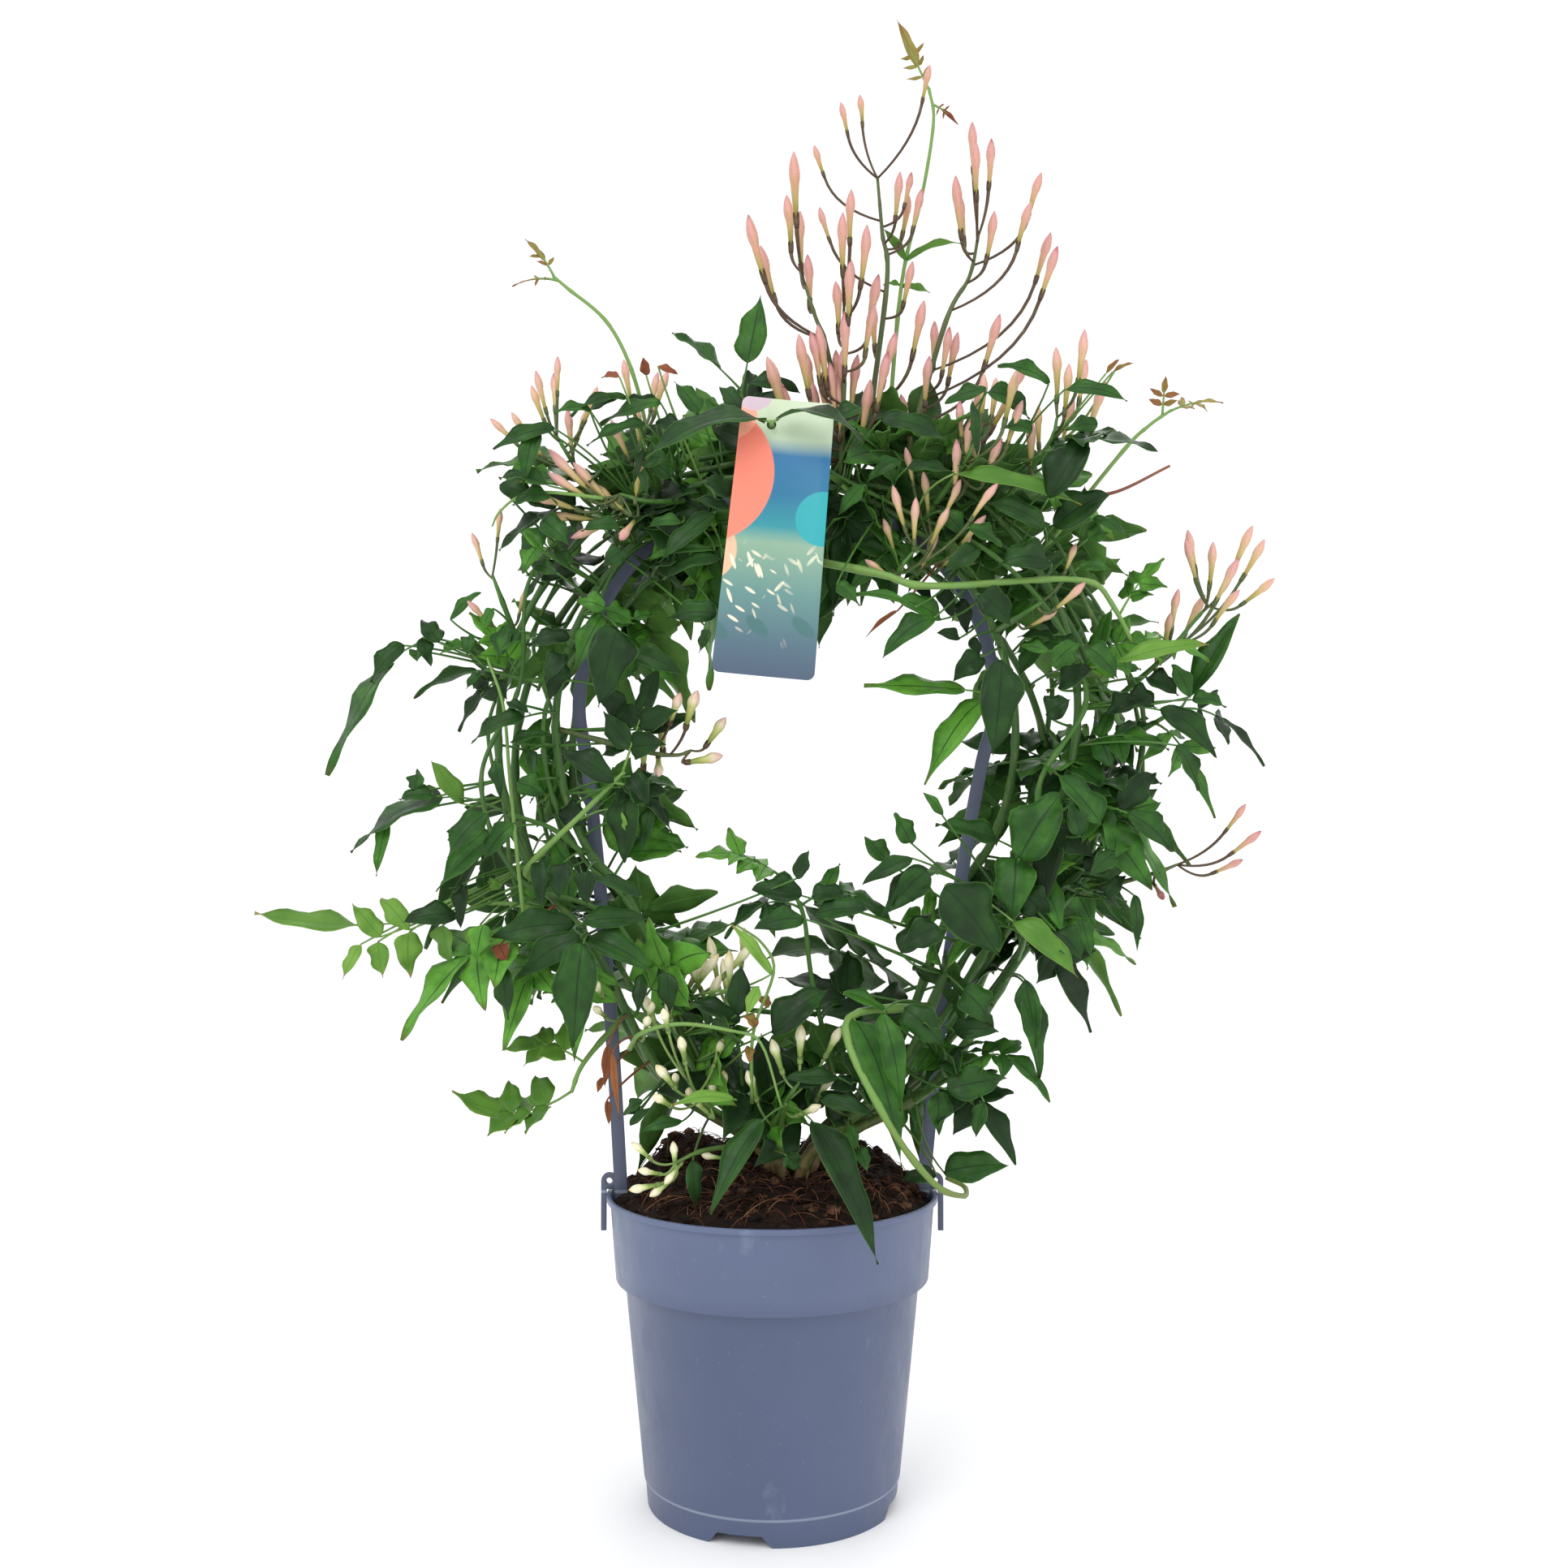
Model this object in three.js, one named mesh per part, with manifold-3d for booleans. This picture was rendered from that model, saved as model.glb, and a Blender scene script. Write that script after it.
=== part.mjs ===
// Pink jasmine (Jasminum polyanthum) trained as a wreath over a plastic hoop, in a nursery pot.
// Millimetres, +Z up. The wreath lies in the XZ plane and its front looks towards -Y.
// Origin: the centre of the pot's underside.
import * as THREE from 'three';
import { mergeVertices } from 'three/addons/utils/BufferGeometryUtils.js';
import Module from 'manifold-3d';

const wasm = await Module();
wasm.setup();

// ---------- driving dimensions ----------

const GAP = 0.35; // clearance between neighbouring pieces

const POT = {
  height: 128,
  rimRadius: 70,
  lipHeight: 2.6,
  collarTop: 68.4, // radius under the lip
  collarEdge: 66, // radius at the collar's lower edge
  collarZ: 93.4,
  bodyTop: 62.2,
  bodyFoot: 53.9,
  seamZ: 11,
  footRadius: 52.4,
  footWidth: 4.5,
  wall: 1.2,
  floorZ: 5,
  hubRadius: 11,
  sides: 32,
};
const NOTCH = { count: 4, bottom: 26, top: 18, height: 4.6, depth: 14, turn: -14 }; // in the foot

const SOIL = { edgeZ: 126, moundZ: 138, lump: 1.6 };

const HOOP = {
  x: 6.4, // centre of the arch
  z: 336,
  radius: 89,
  stripWidth: 5.6,
  stripDepth: 1.4,
  ribWidth: 1.8,
  ribDepth: 1.9,
  rimX: 64.2, // where the legs pass the rim, just inside it
  footZ: 106,
  steps: 34,
};
const CLIP = { thickness: 2.4, prongWidth: 2.3, prongFoot: 111.5, headRadius: 3.5, slot: 0.8 };

const LABEL = {
  topWidth: 37,
  bottomWidth: 41,
  height: 111,
  thickness: 0.6,
  corner: 3,
  tilt: 5.4,
  eye: { x: -6, fromTop: 10.5, radius: 1.9 }, // the hole that the shoot passes through
  hook: [0, -51.5, 443],
};

const WREATH = { x: 11, z: 310, radius: 112, topRise: 7 }; // ring that the vines follow
const CROWN = { x: 8, y: -3, z: 137, radius: 9, rootDepth: 18, neck: 14 };
const VINE = { baseRadius: 2.3, tipRadius: 1.1, sides: 5, stepsPerPoint: 2, pointEvery: 20 };

const LEAF = { thickness: 0.7, rachis: 0.4, fold: 0.22, curl: 0.008, lean: 25 };
const BUD = { length: 26, radius: 2.1, stalk: 0.6 };

// ---------- materials ----------

const paint = (color, roughness) =>
  new THREE.MeshStandardMaterial({ color, roughness, metalness: 0 });
const PLASTIC = paint(0x6a7791, 0.5);
const PEAT = paint(0x2b1a12, 0.95);
const CARD = paint(0xd98a6a, 0.45);
const VINE_GREEN = paint(0x4f7a35, 0.55);
const LEAF_GREEN = paint(0x2c5a30, 0.4);
const YOUNG_GREEN = paint(0x7fae43, 0.4);
const PINK = paint(0xe3a79c, 0.5);
const CREAM = paint(0xe9e6bd, 0.5);

// ---------- helpers ----------

const { sin, cos, PI, abs, max, sqrt } = Math;
const V = (x, y, z) => new THREE.Vector3(x, y, z);
const UP = V(0, 0, 1);
const radians = (degrees) => (degrees * PI) / 180;
const mix = (a, b, t) => a + (b - a) * t;

// A fixed value from 0 to 1 for three numbers.
function noise(a, b, c) {
  const s = sin(a * 12.9898 + b * 78.233 + c * 37.719) * 43758.5453;
  return s - Math.floor(s);
}

// A closed geometry as a solid with its faces outwards.
// Triangles that merging leaves with two equal corners, as at a lathe's pole, are dropped.
function solid(geometry) {
  geometry.deleteAttribute('normal');
  geometry.deleteAttribute('uv');
  const merged = mergeVertices(geometry, 1e-4);
  const corners = merged.index.array;
  const faces = [];
  for (let i = 0; i < corners.length; i += 3) {
    const [a, b, c] = corners.slice(i, i + 3);
    if (a !== b && b !== c && c !== a) faces.push([a, b, c]);
  }
  const build = (list) =>
    new wasm.Manifold(
      new wasm.Mesh({
        numProp: 3,
        vertProperties: merged.attributes.position.array,
        triVerts: new Uint32Array(list.flat()),
      }),
    );
  const made = build(faces);
  return made.volume() > 0 ? made : build(faces.map(([a, b, c]) => [a, c, b]));
}

// Moves every vertex of a geometry to place(x, y, z).
function bend(geometry, place) {
  const position = geometry.attributes.position;
  for (let i = 0; i < position.count; i++) {
    const p = place(position.getX(i), position.getY(i), position.getZ(i));
    position.setXYZ(i, p.x, p.y, p.z);
  }
  return geometry;
}

function lathe(profile, sides) {
  const points = profile.map(([r, z]) => new THREE.Vector2(r, z));
  return new THREE.LatheGeometry(points, sides).rotateX(PI / 2);
}

// A smooth curve through the points.
const throughPoints = (points) => new THREE.CatmullRomCurve3(points, false, 'catmullrom', 0.5);

// A tapering round stem along a curve: a cylinder whose rings are set square to it.
function tube(curve, startRadius, endRadius, sides, steps) {
  const rings = [];
  let across = V(0.31, 0.87, 0.38);
  for (let i = 0; i <= steps; i++) {
    const centre = curve.getPoint(i / steps);
    const along = curve.getTangent(i / steps);
    across = across.clone().addScaledVector(along, -across.dot(along)).normalize();
    rings.push({ centre, across, other: across.clone().cross(along) });
  }
  const straight = new THREE.CylinderGeometry(endRadius, startRadius, 1, sides, steps);
  const onCurve = (x, y, z) => {
    const { centre, across: n, other } = rings[Math.round((y + 0.5) * steps)];
    return centre.clone().addScaledVector(n, x).addScaledVector(other, z);
  };
  return solid(bend(straight, onCurve));
}

// ---------- the list of pieces ----------

const SHORTEST = 0.01;
const CLOSEST = 0.004;
const plant = new THREE.Group();
const placed = []; // every solid so far: { owner, body, box }

// Two boxes that come within a millimetre of each other.
function boxesMeet(a, b) {
  return [0, 1, 2].every((k) => a.min[k] < b.max[k] + 1 && b.min[k] < a.max[k] + 1);
}

// True when the solid meets nothing placed so far, apart from what `except` names.
function isClear(body, except = []) {
  const box = body.boundingBox();
  const hit = (other) =>
    !except.includes(other.owner) &&
    boxesMeet(box, other.box) &&
    !body.intersect(other.body).isEmpty();
  return !placed.some(hit);
}

function keepClearOf(owner, body) {
  placed.push({ owner, body, box: body.boundingBox() });
  return body;
}

// The solids of one node as one closed geometry.
// A hollow that the joining seals comes out of decompose as a shell of its own, and is filled.
// Edges shorter than SHORTEST, left where two surfaces cross, are closed up.
function join(bodies) {
  const shells = wasm.Manifold.union(bodies).decompose();
  const joined = shells.reduce((a, b) => (b.volume() > a.volume() ? b : a));
  const { vertProperties, triVerts } = joined.simplify(SHORTEST).getMesh();
  const geometry = new THREE.BufferGeometry();
  geometry.setAttribute('position', new THREE.BufferAttribute(vertProperties, 3));
  geometry.setIndex(new THREE.BufferAttribute(triVerts, 1));
  return geometry;
}

// True when the joined surface comes near itself nowhere: no two corners share a place.
function joinsCleanly(bodies) {
  const { array } = join(bodies).attributes.position;
  for (let i = 0; i < array.length; i += 3) {
    for (let j = i + 3; j < array.length; j += 3) {
      const near = [0, 1, 2].every((k) => abs(array[i + k] - array[j + k]) < CLOSEST);
      if (near) return false;
    }
  }
  return true;
}

// Adds the solids of one node to the plant as a named mesh.
function addPiece(name, material, bodies) {
  const geometry = join(bodies);
  geometry.computeVertexNormals();
  const mesh = new THREE.Mesh(geometry, material);
  mesh.name = name;
  plant.add(mesh);
}

// ---------- pot and soil ----------

function makePot() {
  const { rimRadius, height, wall, floorZ, seamZ } = POT;
  const lipZ = height - POT.lipHeight;
  const ringInside = POT.footRadius - POT.footWidth;
  const outside = [
    [0, 0],
    [POT.hubRadius, 0],
    [POT.hubRadius, floorZ],
    [ringInside, floorZ],
    [ringInside, 0],
    [POT.footRadius, 0],
    [POT.bodyFoot - 0.6, seamZ - 0.4],
    [POT.bodyFoot, seamZ],
    [POT.bodyTop, POT.collarZ],
    [POT.collarEdge, POT.collarZ],
    [POT.collarTop, lipZ],
    [rimRadius, lipZ + 0.3],
    [rimRadius, height],
  ];
  const inside = [
    [POT.collarTop, height],
    [POT.collarTop - wall, lipZ],
    [POT.collarEdge - wall, POT.collarZ + wall + 0.2],
    [POT.bodyTop - wall, POT.collarZ + wall],
    [POT.bodyFoot - wall, seamZ + 1],
    [POT.bodyFoot - wall - 1.4, floorZ + wall],
    [0, floorZ + wall],
  ];
  let pot = solid(lathe([...outside, ...inside], POT.sides));
  for (let i = 0; i < NOTCH.count; i++) pot = pot.subtract(footNotch(i));
  keepClearOf('pot', pot);
  addPiece('pot', PLASTIC, [pot]);
}

// A trapezoid gap through the foot ring, wider at the surface that the pot stands on.
function footNotch(i) {
  const { bottom, top, height } = NOTCH;
  const outline = new THREE.Shape([
    new THREE.Vector2(-bottom / 2 - 1, -1),
    new THREE.Vector2(bottom / 2 + 1, -1),
    new THREE.Vector2(top / 2, height),
    new THREE.Vector2(-top / 2, height),
  ]);
  const cut = new THREE.ExtrudeGeometry(outline, { depth: NOTCH.depth, bevelEnabled: false });
  cut.rotateX(PI / 2).translate(0, NOTCH.depth - 3 - POT.footRadius, 0);
  cut.rotateZ(radians(NOTCH.turn + (360 / NOTCH.count) * i));
  return solid(cut);
}

// Peat that fills the pot to the rim and is heaped up round the crown.
function makeSoil(holes) {
  const { wall, collarZ, floorZ, seamZ, height } = POT;
  const clear = wall + GAP;
  const flank = [
    [0, floorZ + clear],
    [POT.bodyFoot - clear - 1.4, floorZ + clear],
    [POT.bodyFoot - clear, seamZ + 1],
    [POT.bodyTop - clear, collarZ + clear],
    [POT.collarEdge - clear, collarZ + clear + 0.2],
    [POT.collarTop - clear - 0.1, SOIL.edgeZ - 3],
  ];
  const mound = [64, 46, 24].map((r) => [r, soilHeight(r)]);
  const heap = lathe([...flank, ...mound, [0, soilHeight(0)]], POT.sides);
  bend(heap, (x, y, z) => {
    const onTop = z > SOIL.edgeZ + 0.5 && Math.hypot(x, y) > 1;
    const lump = onTop ? SOIL.lump * (noise(Math.round(x * 10), Math.round(y * 10), 3) - 0.5) : 0;
    return V(x, y, z + lump);
  });
  const soil = holes.reduce((body, hole) => body.subtract(hole), solid(heap));
  keepClearOf('soil', soil);
  addPiece('soil', PEAT, [soil]);
}

const soilHeight = (r) => SOIL.moundZ - (SOIL.moundZ - SOIL.edgeZ) * (r / 66) ** 2;

// ---------- hoop ----------

// The hoop's centre line, from the left foot over the arch to the right foot.
function hoopCurve() {
  const { x, z, radius } = HOOP;
  const leg = (side) => {
    const spring = x + side * radius;
    const rim = side * HOOP.rimX;
    return [
      V(rim - side * 2, 0, HOOP.footZ),
      V(rim - side * 0.8, 0, POT.height - 7),
      V(rim, 0, POT.height + 2),
      V(mix(rim, spring, 0.2), 0, 190),
      V(mix(rim, spring, 0.5), 0, 256),
      V(mix(rim, spring, 0.8), 0, 308),
    ];
  };
  const arch = [];
  for (let a = 180; a >= 0; a -= 22.5) {
    arch.push(V(x + radius * cos(radians(a)), 0, z + radius * sin(radians(a))));
  }
  return throughPoints([...leg(-1), ...arch, ...leg(1).reverse()]);
}

// A T-shaped strip: a flat band to the front with a rib along its back. `grow` widens it.
function hoopStrip(curve, from, to, steps, grow) {
  const w = HOOP.stripWidth / 2 + grow;
  const r = HOOP.ribWidth / 2 + grow;
  const front = -HOOP.stripDepth - grow;
  const back = HOOP.ribDepth + grow;
  const section = new THREE.Shape([
    new THREE.Vector2(-w, front),
    new THREE.Vector2(w, front),
    new THREE.Vector2(w, grow),
    new THREE.Vector2(r, grow),
    new THREE.Vector2(r, back),
    new THREE.Vector2(-r, back),
    new THREE.Vector2(-r, grow),
    new THREE.Vector2(-w, grow),
  ]);
  const strip = new THREE.ExtrudeGeometry(section, { depth: 1, steps, bevelEnabled: false });
  const depthwise = V(0, 1, 0);
  return solid(
    bend(strip, (x, y, z) => {
      const t = mix(from, to, z);
      const across = depthwise.clone().cross(curve.getTangent(t));
      return curve.getPoint(t).addScaledVector(across, x).addScaledVector(depthwise, y);
    }),
  );
}

// A keyhole clip: a ring head beside the leg, and a prong that hangs outside the pot's rim.
function rimClip(side) {
  const { prongWidth, prongFoot, headRadius, slot, thickness } = CLIP;
  const prong = POT.rimRadius + GAP;
  const headZ = POT.height + GAP + headRadius + 0.6;
  const legX = HOOP.rimX;
  const shape = new THREE.Shape();
  shape.moveTo(prong, prongFoot);
  shape.lineTo(prong + prongWidth, prongFoot);
  shape.absarc(prong + prongWidth - headRadius, headZ, headRadius, 0, PI, false);
  shape.lineTo(legX, headZ);
  shape.lineTo(legX, headZ - headRadius);
  shape.lineTo(prong, headZ - headRadius);
  const keyhole = new THREE.Path();
  keyhole.absarc(prong + prongWidth - headRadius, headZ, slot * 1.6, 0, 2 * PI, true);
  shape.holes.push(keyhole);
  const plate = { depth: thickness, bevelEnabled: false, curveSegments: 4 };
  const clip = new THREE.ExtrudeGeometry(shape, plate).translate(0, 0, -thickness / 2);
  return solid(bend(clip, (x, y, z) => V(side * x, side * z, y)));
}

function makeHoop() {
  const curve = hoopCurve();
  const strip = hoopStrip(curve, 0, 1, HOOP.steps, 0);
  const bodies = [strip, rimClip(-1), rimClip(1)];
  bodies.forEach((body) => keepClearOf('hoop', body));
  addPiece('hoop', PLASTIC, bodies);
}

// The slots in the soil that the hoop's feet stand in.
function hoopHoles() {
  const curve = hoopCurve();
  const deep = hoopStrip(curve, 0, 0.11, 4, GAP);
  const other = hoopStrip(curve, 0.89, 1, 4, GAP);
  return [deep, other];
}

// ---------- label ----------

// A thin tapering plate with round corners, threaded on a leafy shoot near its top.
function makeLabel() {
  const { topWidth, bottomWidth, height, corner, thickness, tilt, hook, eye } = LABEL;
  const top = eye.fromTop;
  const bottom = top - height;
  const half = (z) => mix(bottomWidth, topWidth, (z - bottom) / height) / 2;
  const plate = new THREE.Shape();
  plate.absarc(half(top) - corner, top - corner, corner, 0, PI / 2, false);
  plate.absarc(-half(top) + corner, top - corner, corner, PI / 2, PI, false);
  plate.absarc(-half(bottom) + corner, bottom + corner, corner, PI, 1.5 * PI, false);
  plate.absarc(half(bottom) - corner, bottom + corner, corner, 1.5 * PI, 2 * PI, false);
  const cut = new THREE.Path();
  cut.absarc(eye.x, 0, eye.radius, 0, 2 * PI, true);
  plate.holes.push(cut);
  const options = { depth: thickness, bevelEnabled: false, curveSegments: 4 };
  const card = new THREE.ExtrudeGeometry(plate, options).translate(-eye.x, 0, 0);
  card.rotateX(PI / 2).rotateY(radians(tilt)).translate(...hook);
  const body = solid(card);
  keepClearOf('label', body);
  addPiece('label', CARD, [body]);
}

// ---------- vines ----------

// A point of the wreath's centre line at an angle from +X, moved outwards and in depth.
function ringPoint(angle, outwards, depth) {
  const a = radians(angle);
  const r = WREATH.radius + WREATH.topRise * sin(a) + outwards;
  return V(WREATH.x + r * cos(a), depth, WREATH.z + r * sin(a));
}

// How each side's vines wind: from the angle `start` on, `turns` times round the centre line
// for one time round the ring, with the first vine at `phase` where the angle is `still`.
const TWINING = {
  left: { start: 222, still: 153, phase: 65, turns: 0.5 },
  right: { start: -42, still: 27, phase: 30, turns: 0.9 },
};

// The vines of one side wind round the wreath's centre line, evenly spread.
// `side` is 1 for those that rise on the right and -1 for those on the left.
function vineCurve({ side, index, end }) {
  const { start, still, phase: stillPhase, turns } = side > 0 ? TWINING.right : TWINING.left;
  const phaseAt = (angle) => stillPhase + 90 * index + turns * (still - angle) * -side;
  const points = [];
  const count = Math.round(abs(end - start) / VINE.pointEvery);
  for (let i = 0; i <= count; i++) {
    const angle = mix(start, end, i / count);
    const spread = side > 0 ? 20 : 13 + 5 * max(0, -cos(radians(angle)));
    const phase = radians(phaseAt(angle));
    points.push(ringPoint(angle, spread * cos(phase), (spread - 1) * sin(phase)));
  }
  const quarter = 45 + 90 * Math.round((phaseAt(start) - 45) / 90);
  const turn = ((quarter + 540) % 360) - 180;
  const around = radians(side > 0 ? turn / 2 : 180 - turn / 2);
  const base = V(CROWN.x, CROWN.y, CROWN.z);
  base.add(V(CROWN.radius * cos(around), CROWN.radius * sin(around), 0));
  const root = base.clone().setZ(CROWN.z - CROWN.rootDepth);
  const first = points[0];
  const shoulder = V(mix(base.x, first.x, 0.6), mix(base.y, first.y, 0.5), mix(base.z, first.z, 0.42));
  const neck = V(mix(base.x, shoulder.x, 0.2), mix(base.y, shoulder.y, 0.2), base.z + CROWN.neck);
  return throughPoints([root, base, neck, shoulder, ...points]);
}

const VINES = [
  { name: 'vine_left_1', side: -1, index: 0, end: 62 },
  { name: 'vine_left_2', side: -1, index: 1, end: 84 },
  { name: 'vine_left_3', side: -1, index: 2, end: 70 },
  { name: 'vine_left_4', side: -1, index: 3, end: 96 },
  { name: 'vine_right_1', side: 1, index: 0, end: 118 },
  { name: 'vine_right_2', side: 1, index: 1, end: 98 },
  { name: 'vine_right_3', side: 1, index: 2, end: 126 },
  { name: 'vine_right_4', side: 1, index: 3, end: 108 },
];
const SPOTS_PER_VINE = 60;
const vineSpots = []; // places on the vines where a shoot can grow

function makeVines() {
  for (const vine of VINES) {
    const curve = vineCurve(vine);
    const steps = (curve.points.length - 1) * VINE.stepsPerPoint;
    const body = tube(curve, VINE.baseRadius, VINE.tipRadius, VINE.sides, steps);
    keepClearOf(vine.name, body);
    addPiece(vine.name, VINE_GREEN, [body]);
    for (let i = 6; i < SPOTS_PER_VINE; i++) {
      const t = i / SPOTS_PER_VINE;
      vineSpots.push({
        vine: vine.name,
        point: curve.getPoint(t),
        along: curve.getTangent(t),
        radius: mix(VINE.baseRadius, VINE.tipRadius, t),
      });
    }
  }
}

// Plain holes in the soil, each along its vine's foot.
function vineHoles() {
  return VINES.map((vine) => {
    const curve = vineCurve(vine);
    const path = [0, 0.04, 0.08, 0.12, 0.16].map((t) => curve.getPoint(t));
    path[0].z -= 3 * GAP;
    const r = VINE.baseRadius + 2 * GAP;
    return tube(throughPoints(path), r, r, 6, 5);
  });
}

// ---------- leaves ----------

// The flat outline of a pinnate leaf along +Y: stalk, pairs of leaflets and a long end leaflet.
function leafOutline(length, pairs) {
  const leaflet = [0.3, 0.25, 0.21][pairs - 2] * length;
  const width = leaflet * 0.5;
  const first = 0.24 - 0.04 * (pairs - 2);
  const last = 0.44 + 0.05 * (pairs - 2);
  const endStart = (last + 0.09) * length;
  const endLength = length - endStart;
  const endWidth = max(0.19 * length, 9);
  const [c, s] = [cos(radians(LEAF.lean)), sin(radians(LEAF.lean))];
  const right = [[LEAF.rachis, 0]];
  for (let i = 0; i < pairs; i++) {
    const v = mix(first, last, i / (pairs - 1)) * length;
    const at = (along, across) => [along * c - across * s, v + along * s + across * c];
    right.push([LEAF.rachis, v - 0.5]);
    right.push(at(0.42 * leaflet, -0.5 * width), at(leaflet, 0), at(0.42 * leaflet, 0.5 * width));
    right.push([LEAF.rachis, v + 0.6]);
  }
  right.push([endWidth * 0.46, endStart + endLength * 0.26]);
  right.push([endWidth * 0.32, endStart + endLength * 0.64]);
  const left = right.map(([u, v]) => [-u, v]).reverse();
  const outline = [...right, [0, length], ...left];
  return new THREE.Shape(outline.map(([u, v]) => new THREE.Vector2(u, v)));
}

// A leaf from base to tip, its rachis rising `arch` above the straight line at mid length.
// `face` is the way its upper side looks. `extra` thickens it, for testing what is round it.
function makeLeaf({ base, tip, arch, face, pairs }, extra = 0) {
  const middle = base.clone().add(tip).multiplyScalar(0.5);
  const control = middle.addScaledVector(UP, 2 * arch);
  const rachis = new THREE.QuadraticBezierCurve3(base, control, tip);
  const length = rachis.getLength();
  const across = tip.clone().sub(base).cross(face).normalize();
  const thickness = LEAF.thickness + extra;
  const plate = { depth: thickness, bevelEnabled: false };
  const flat = new THREE.ExtrudeGeometry(leafOutline(length, pairs), plate);
  return solid(
    bend(flat, (u, v, w) => {
      const t = v / length;
      const along = rachis.getTangent(t);
      const normal = across.clone().cross(along).normalize();
      const height = w - thickness / 2 - LEAF.fold * abs(u) - LEAF.curl * u * u;
      return rachis.getPoint(t).addScaledVector(across, u).addScaledVector(normal, height);
    }),
  );
}

// ---------- buds ----------

// A flower bud on its stalk, from a point of the spray's stem to the bud's tip.
function makeBud({ root, tip, lean, size }, extra = 0) {
  const base = tip.clone().addScaledVector(lean, -BUD.length * size);
  const elbow = base.clone().addScaledVector(lean, -0.45 * root.distanceTo(base));
  const stalk = new THREE.QuadraticBezierCurve3(root, elbow, base);
  const sideways = elbow.clone().sub(root).cross(lean).normalize();
  const thick = BUD.stalk + extra;
  const profile = [
    [0, 0],
    [thick * 0.75, 0],
    [thick * 1.4, 1],
    [BUD.radius * size + extra, 1.7],
    [0, 2],
  ];
  const straight = new THREE.LatheGeometry(profile.map(([r, y]) => new THREE.Vector2(r, y)), 3);
  return solid(
    bend(straight, (x, y, z) => {
      const onStalk = y <= 1;
      const inBud = base.clone().addScaledVector(lean, (y - 1) * BUD.length * size);
      const centre = onStalk ? stalk.getPoint(y) : inBud;
      const along = onStalk ? stalk.getTangent(y) : lean;
      const across = sideways.clone().cross(along).normalize();
      return centre.addScaledVector(across, x).addScaledVector(sideways, -z);
    }),
  );
}

// ---------- stems that grow on the vines ----------

const MARGIN = 0.6; // added all round a shape when it is tested against its neighbours
const STEM_TRIES = [0, -3, 3, -6, 6, -10, 10, -14]; // mm in Y
const SEAT_TRIES = [-0.8, -0.5, -0.25, 0]; // mm closer than for round stems: these have flats

// Grows a stem along the route, from the nearest place on a vine where it meets nothing else.
// The route's first point only says where about the stem starts.
function growStem(name, route, startRadius, endRadius, sides) {
  const steps = max(3, Math.round(1.5 * (route.length - 1)));
  for (const shift of STEM_TRIES) {
    const moved = route.map((p) => p.clone().add(V(0, shift, 0)));
    for (const spot of nearestSpots(moved[0])) {
      for (const seat of SEAT_TRIES) {
        const root = rootOn(spot, moved[1], startRadius, seat);
        const curve = throughPoints([root, ...moved.slice(1)]);
        const grow = (extra) =>
          tube(curve, startRadius + extra, endRadius + extra, sides, steps);
        if (!isClear(grow(MARGIN), [spot.vine]) || !isClear(grow(GAP / 2))) continue;
        return { curve, body: keepClearOf(stemOf(name), grow(0)) };
      }
    }
  }
  throw new Error('no free place for ' + name);
}

function nearestSpots(point) {
  const byDistance = (a, b) => a.point.distanceTo(point) - b.point.distanceTo(point);
  return [...vineSpots].sort(byDistance).slice(0, 12);
}

// Where a stem that heads for `aim` starts, just clear of the vine's bark.
function rootOn(spot, aim, radius, seat) {
  const heading = aim.clone().sub(spot.point).normalize();
  const away = heading.clone().addScaledVector(spot.along, -heading.dot(spot.along)).normalize();
  const slant = sqrt(max(0, 1 - heading.dot(away) ** 2));
  return spot.point.clone().addScaledVector(away, spot.radius + GAP + radius * slant + seat);
}

const stemOf = (name) => name + ' stem';

// Adds to a node's solids the first of the variants that meets nothing, or else the first that
// meets only its own node's pieces.
function growFirst(name, bodies, variants, make) {
  let spare = null;
  let grown = null;
  for (const variant of variants) {
    if (!isClear(make(variant, 2 * MARGIN), [name, stemOf(name)])) continue;
    const body = make(variant);
    if (!joinsCleanly([...bodies, body])) continue;
    spare = spare ?? body;
    if (!isClear(body, [stemOf(name)])) continue;
    grown = body;
    break;
  }
  grown = grown ?? spare;
  if (grown) bodies.push(keepClearOf(name, grown));
}

const DEPTH_TRIES = [0, -6, 6, -12, 12, -18, 18, -24, 24]; // mm in Y
const HEIGHT_TRIES = [0, -8, 8, -16, 16]; // mm in Z

// The way a leaf's upper side looks: up, and outwards on its side of the wreath.
const faceOf = (base) => V(0, base.y < 0 ? -0.5 : 0.5, 0.87);

// Leaves are given as [place along the stem, tip, arch, pairs of leaflets].
function leafVariants(curve, [t, tip, arch, pairs = 2]) {
  const base = curve.getPoint(t);
  const variant = (dy, dz) => {
    const moved = V(tip[0], tip[1] + dy, tip[2] + dz);
    return { base, tip: moved, arch, face: faceOf(base), pairs };
  };
  return HEIGHT_TRIES.flatMap((dz) => DEPTH_TRIES.map((dy) => variant(dy, dz)));
}

function makeShoot({ name, route, leaves, young = false, thick = 1.4 }) {
  const points = route.map((p) => V(...p));
  const { curve, body } = growStem(name, points, thick, 0.9, 4);
  const bodies = [body];
  for (const leaf of leaves) {
    growFirst(name, bodies, leafVariants(curve, leaf), makeLeaf);
  }
  addPiece(name, young ? YOUNG_GREEN : LEAF_GREEN, bodies);
}

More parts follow.
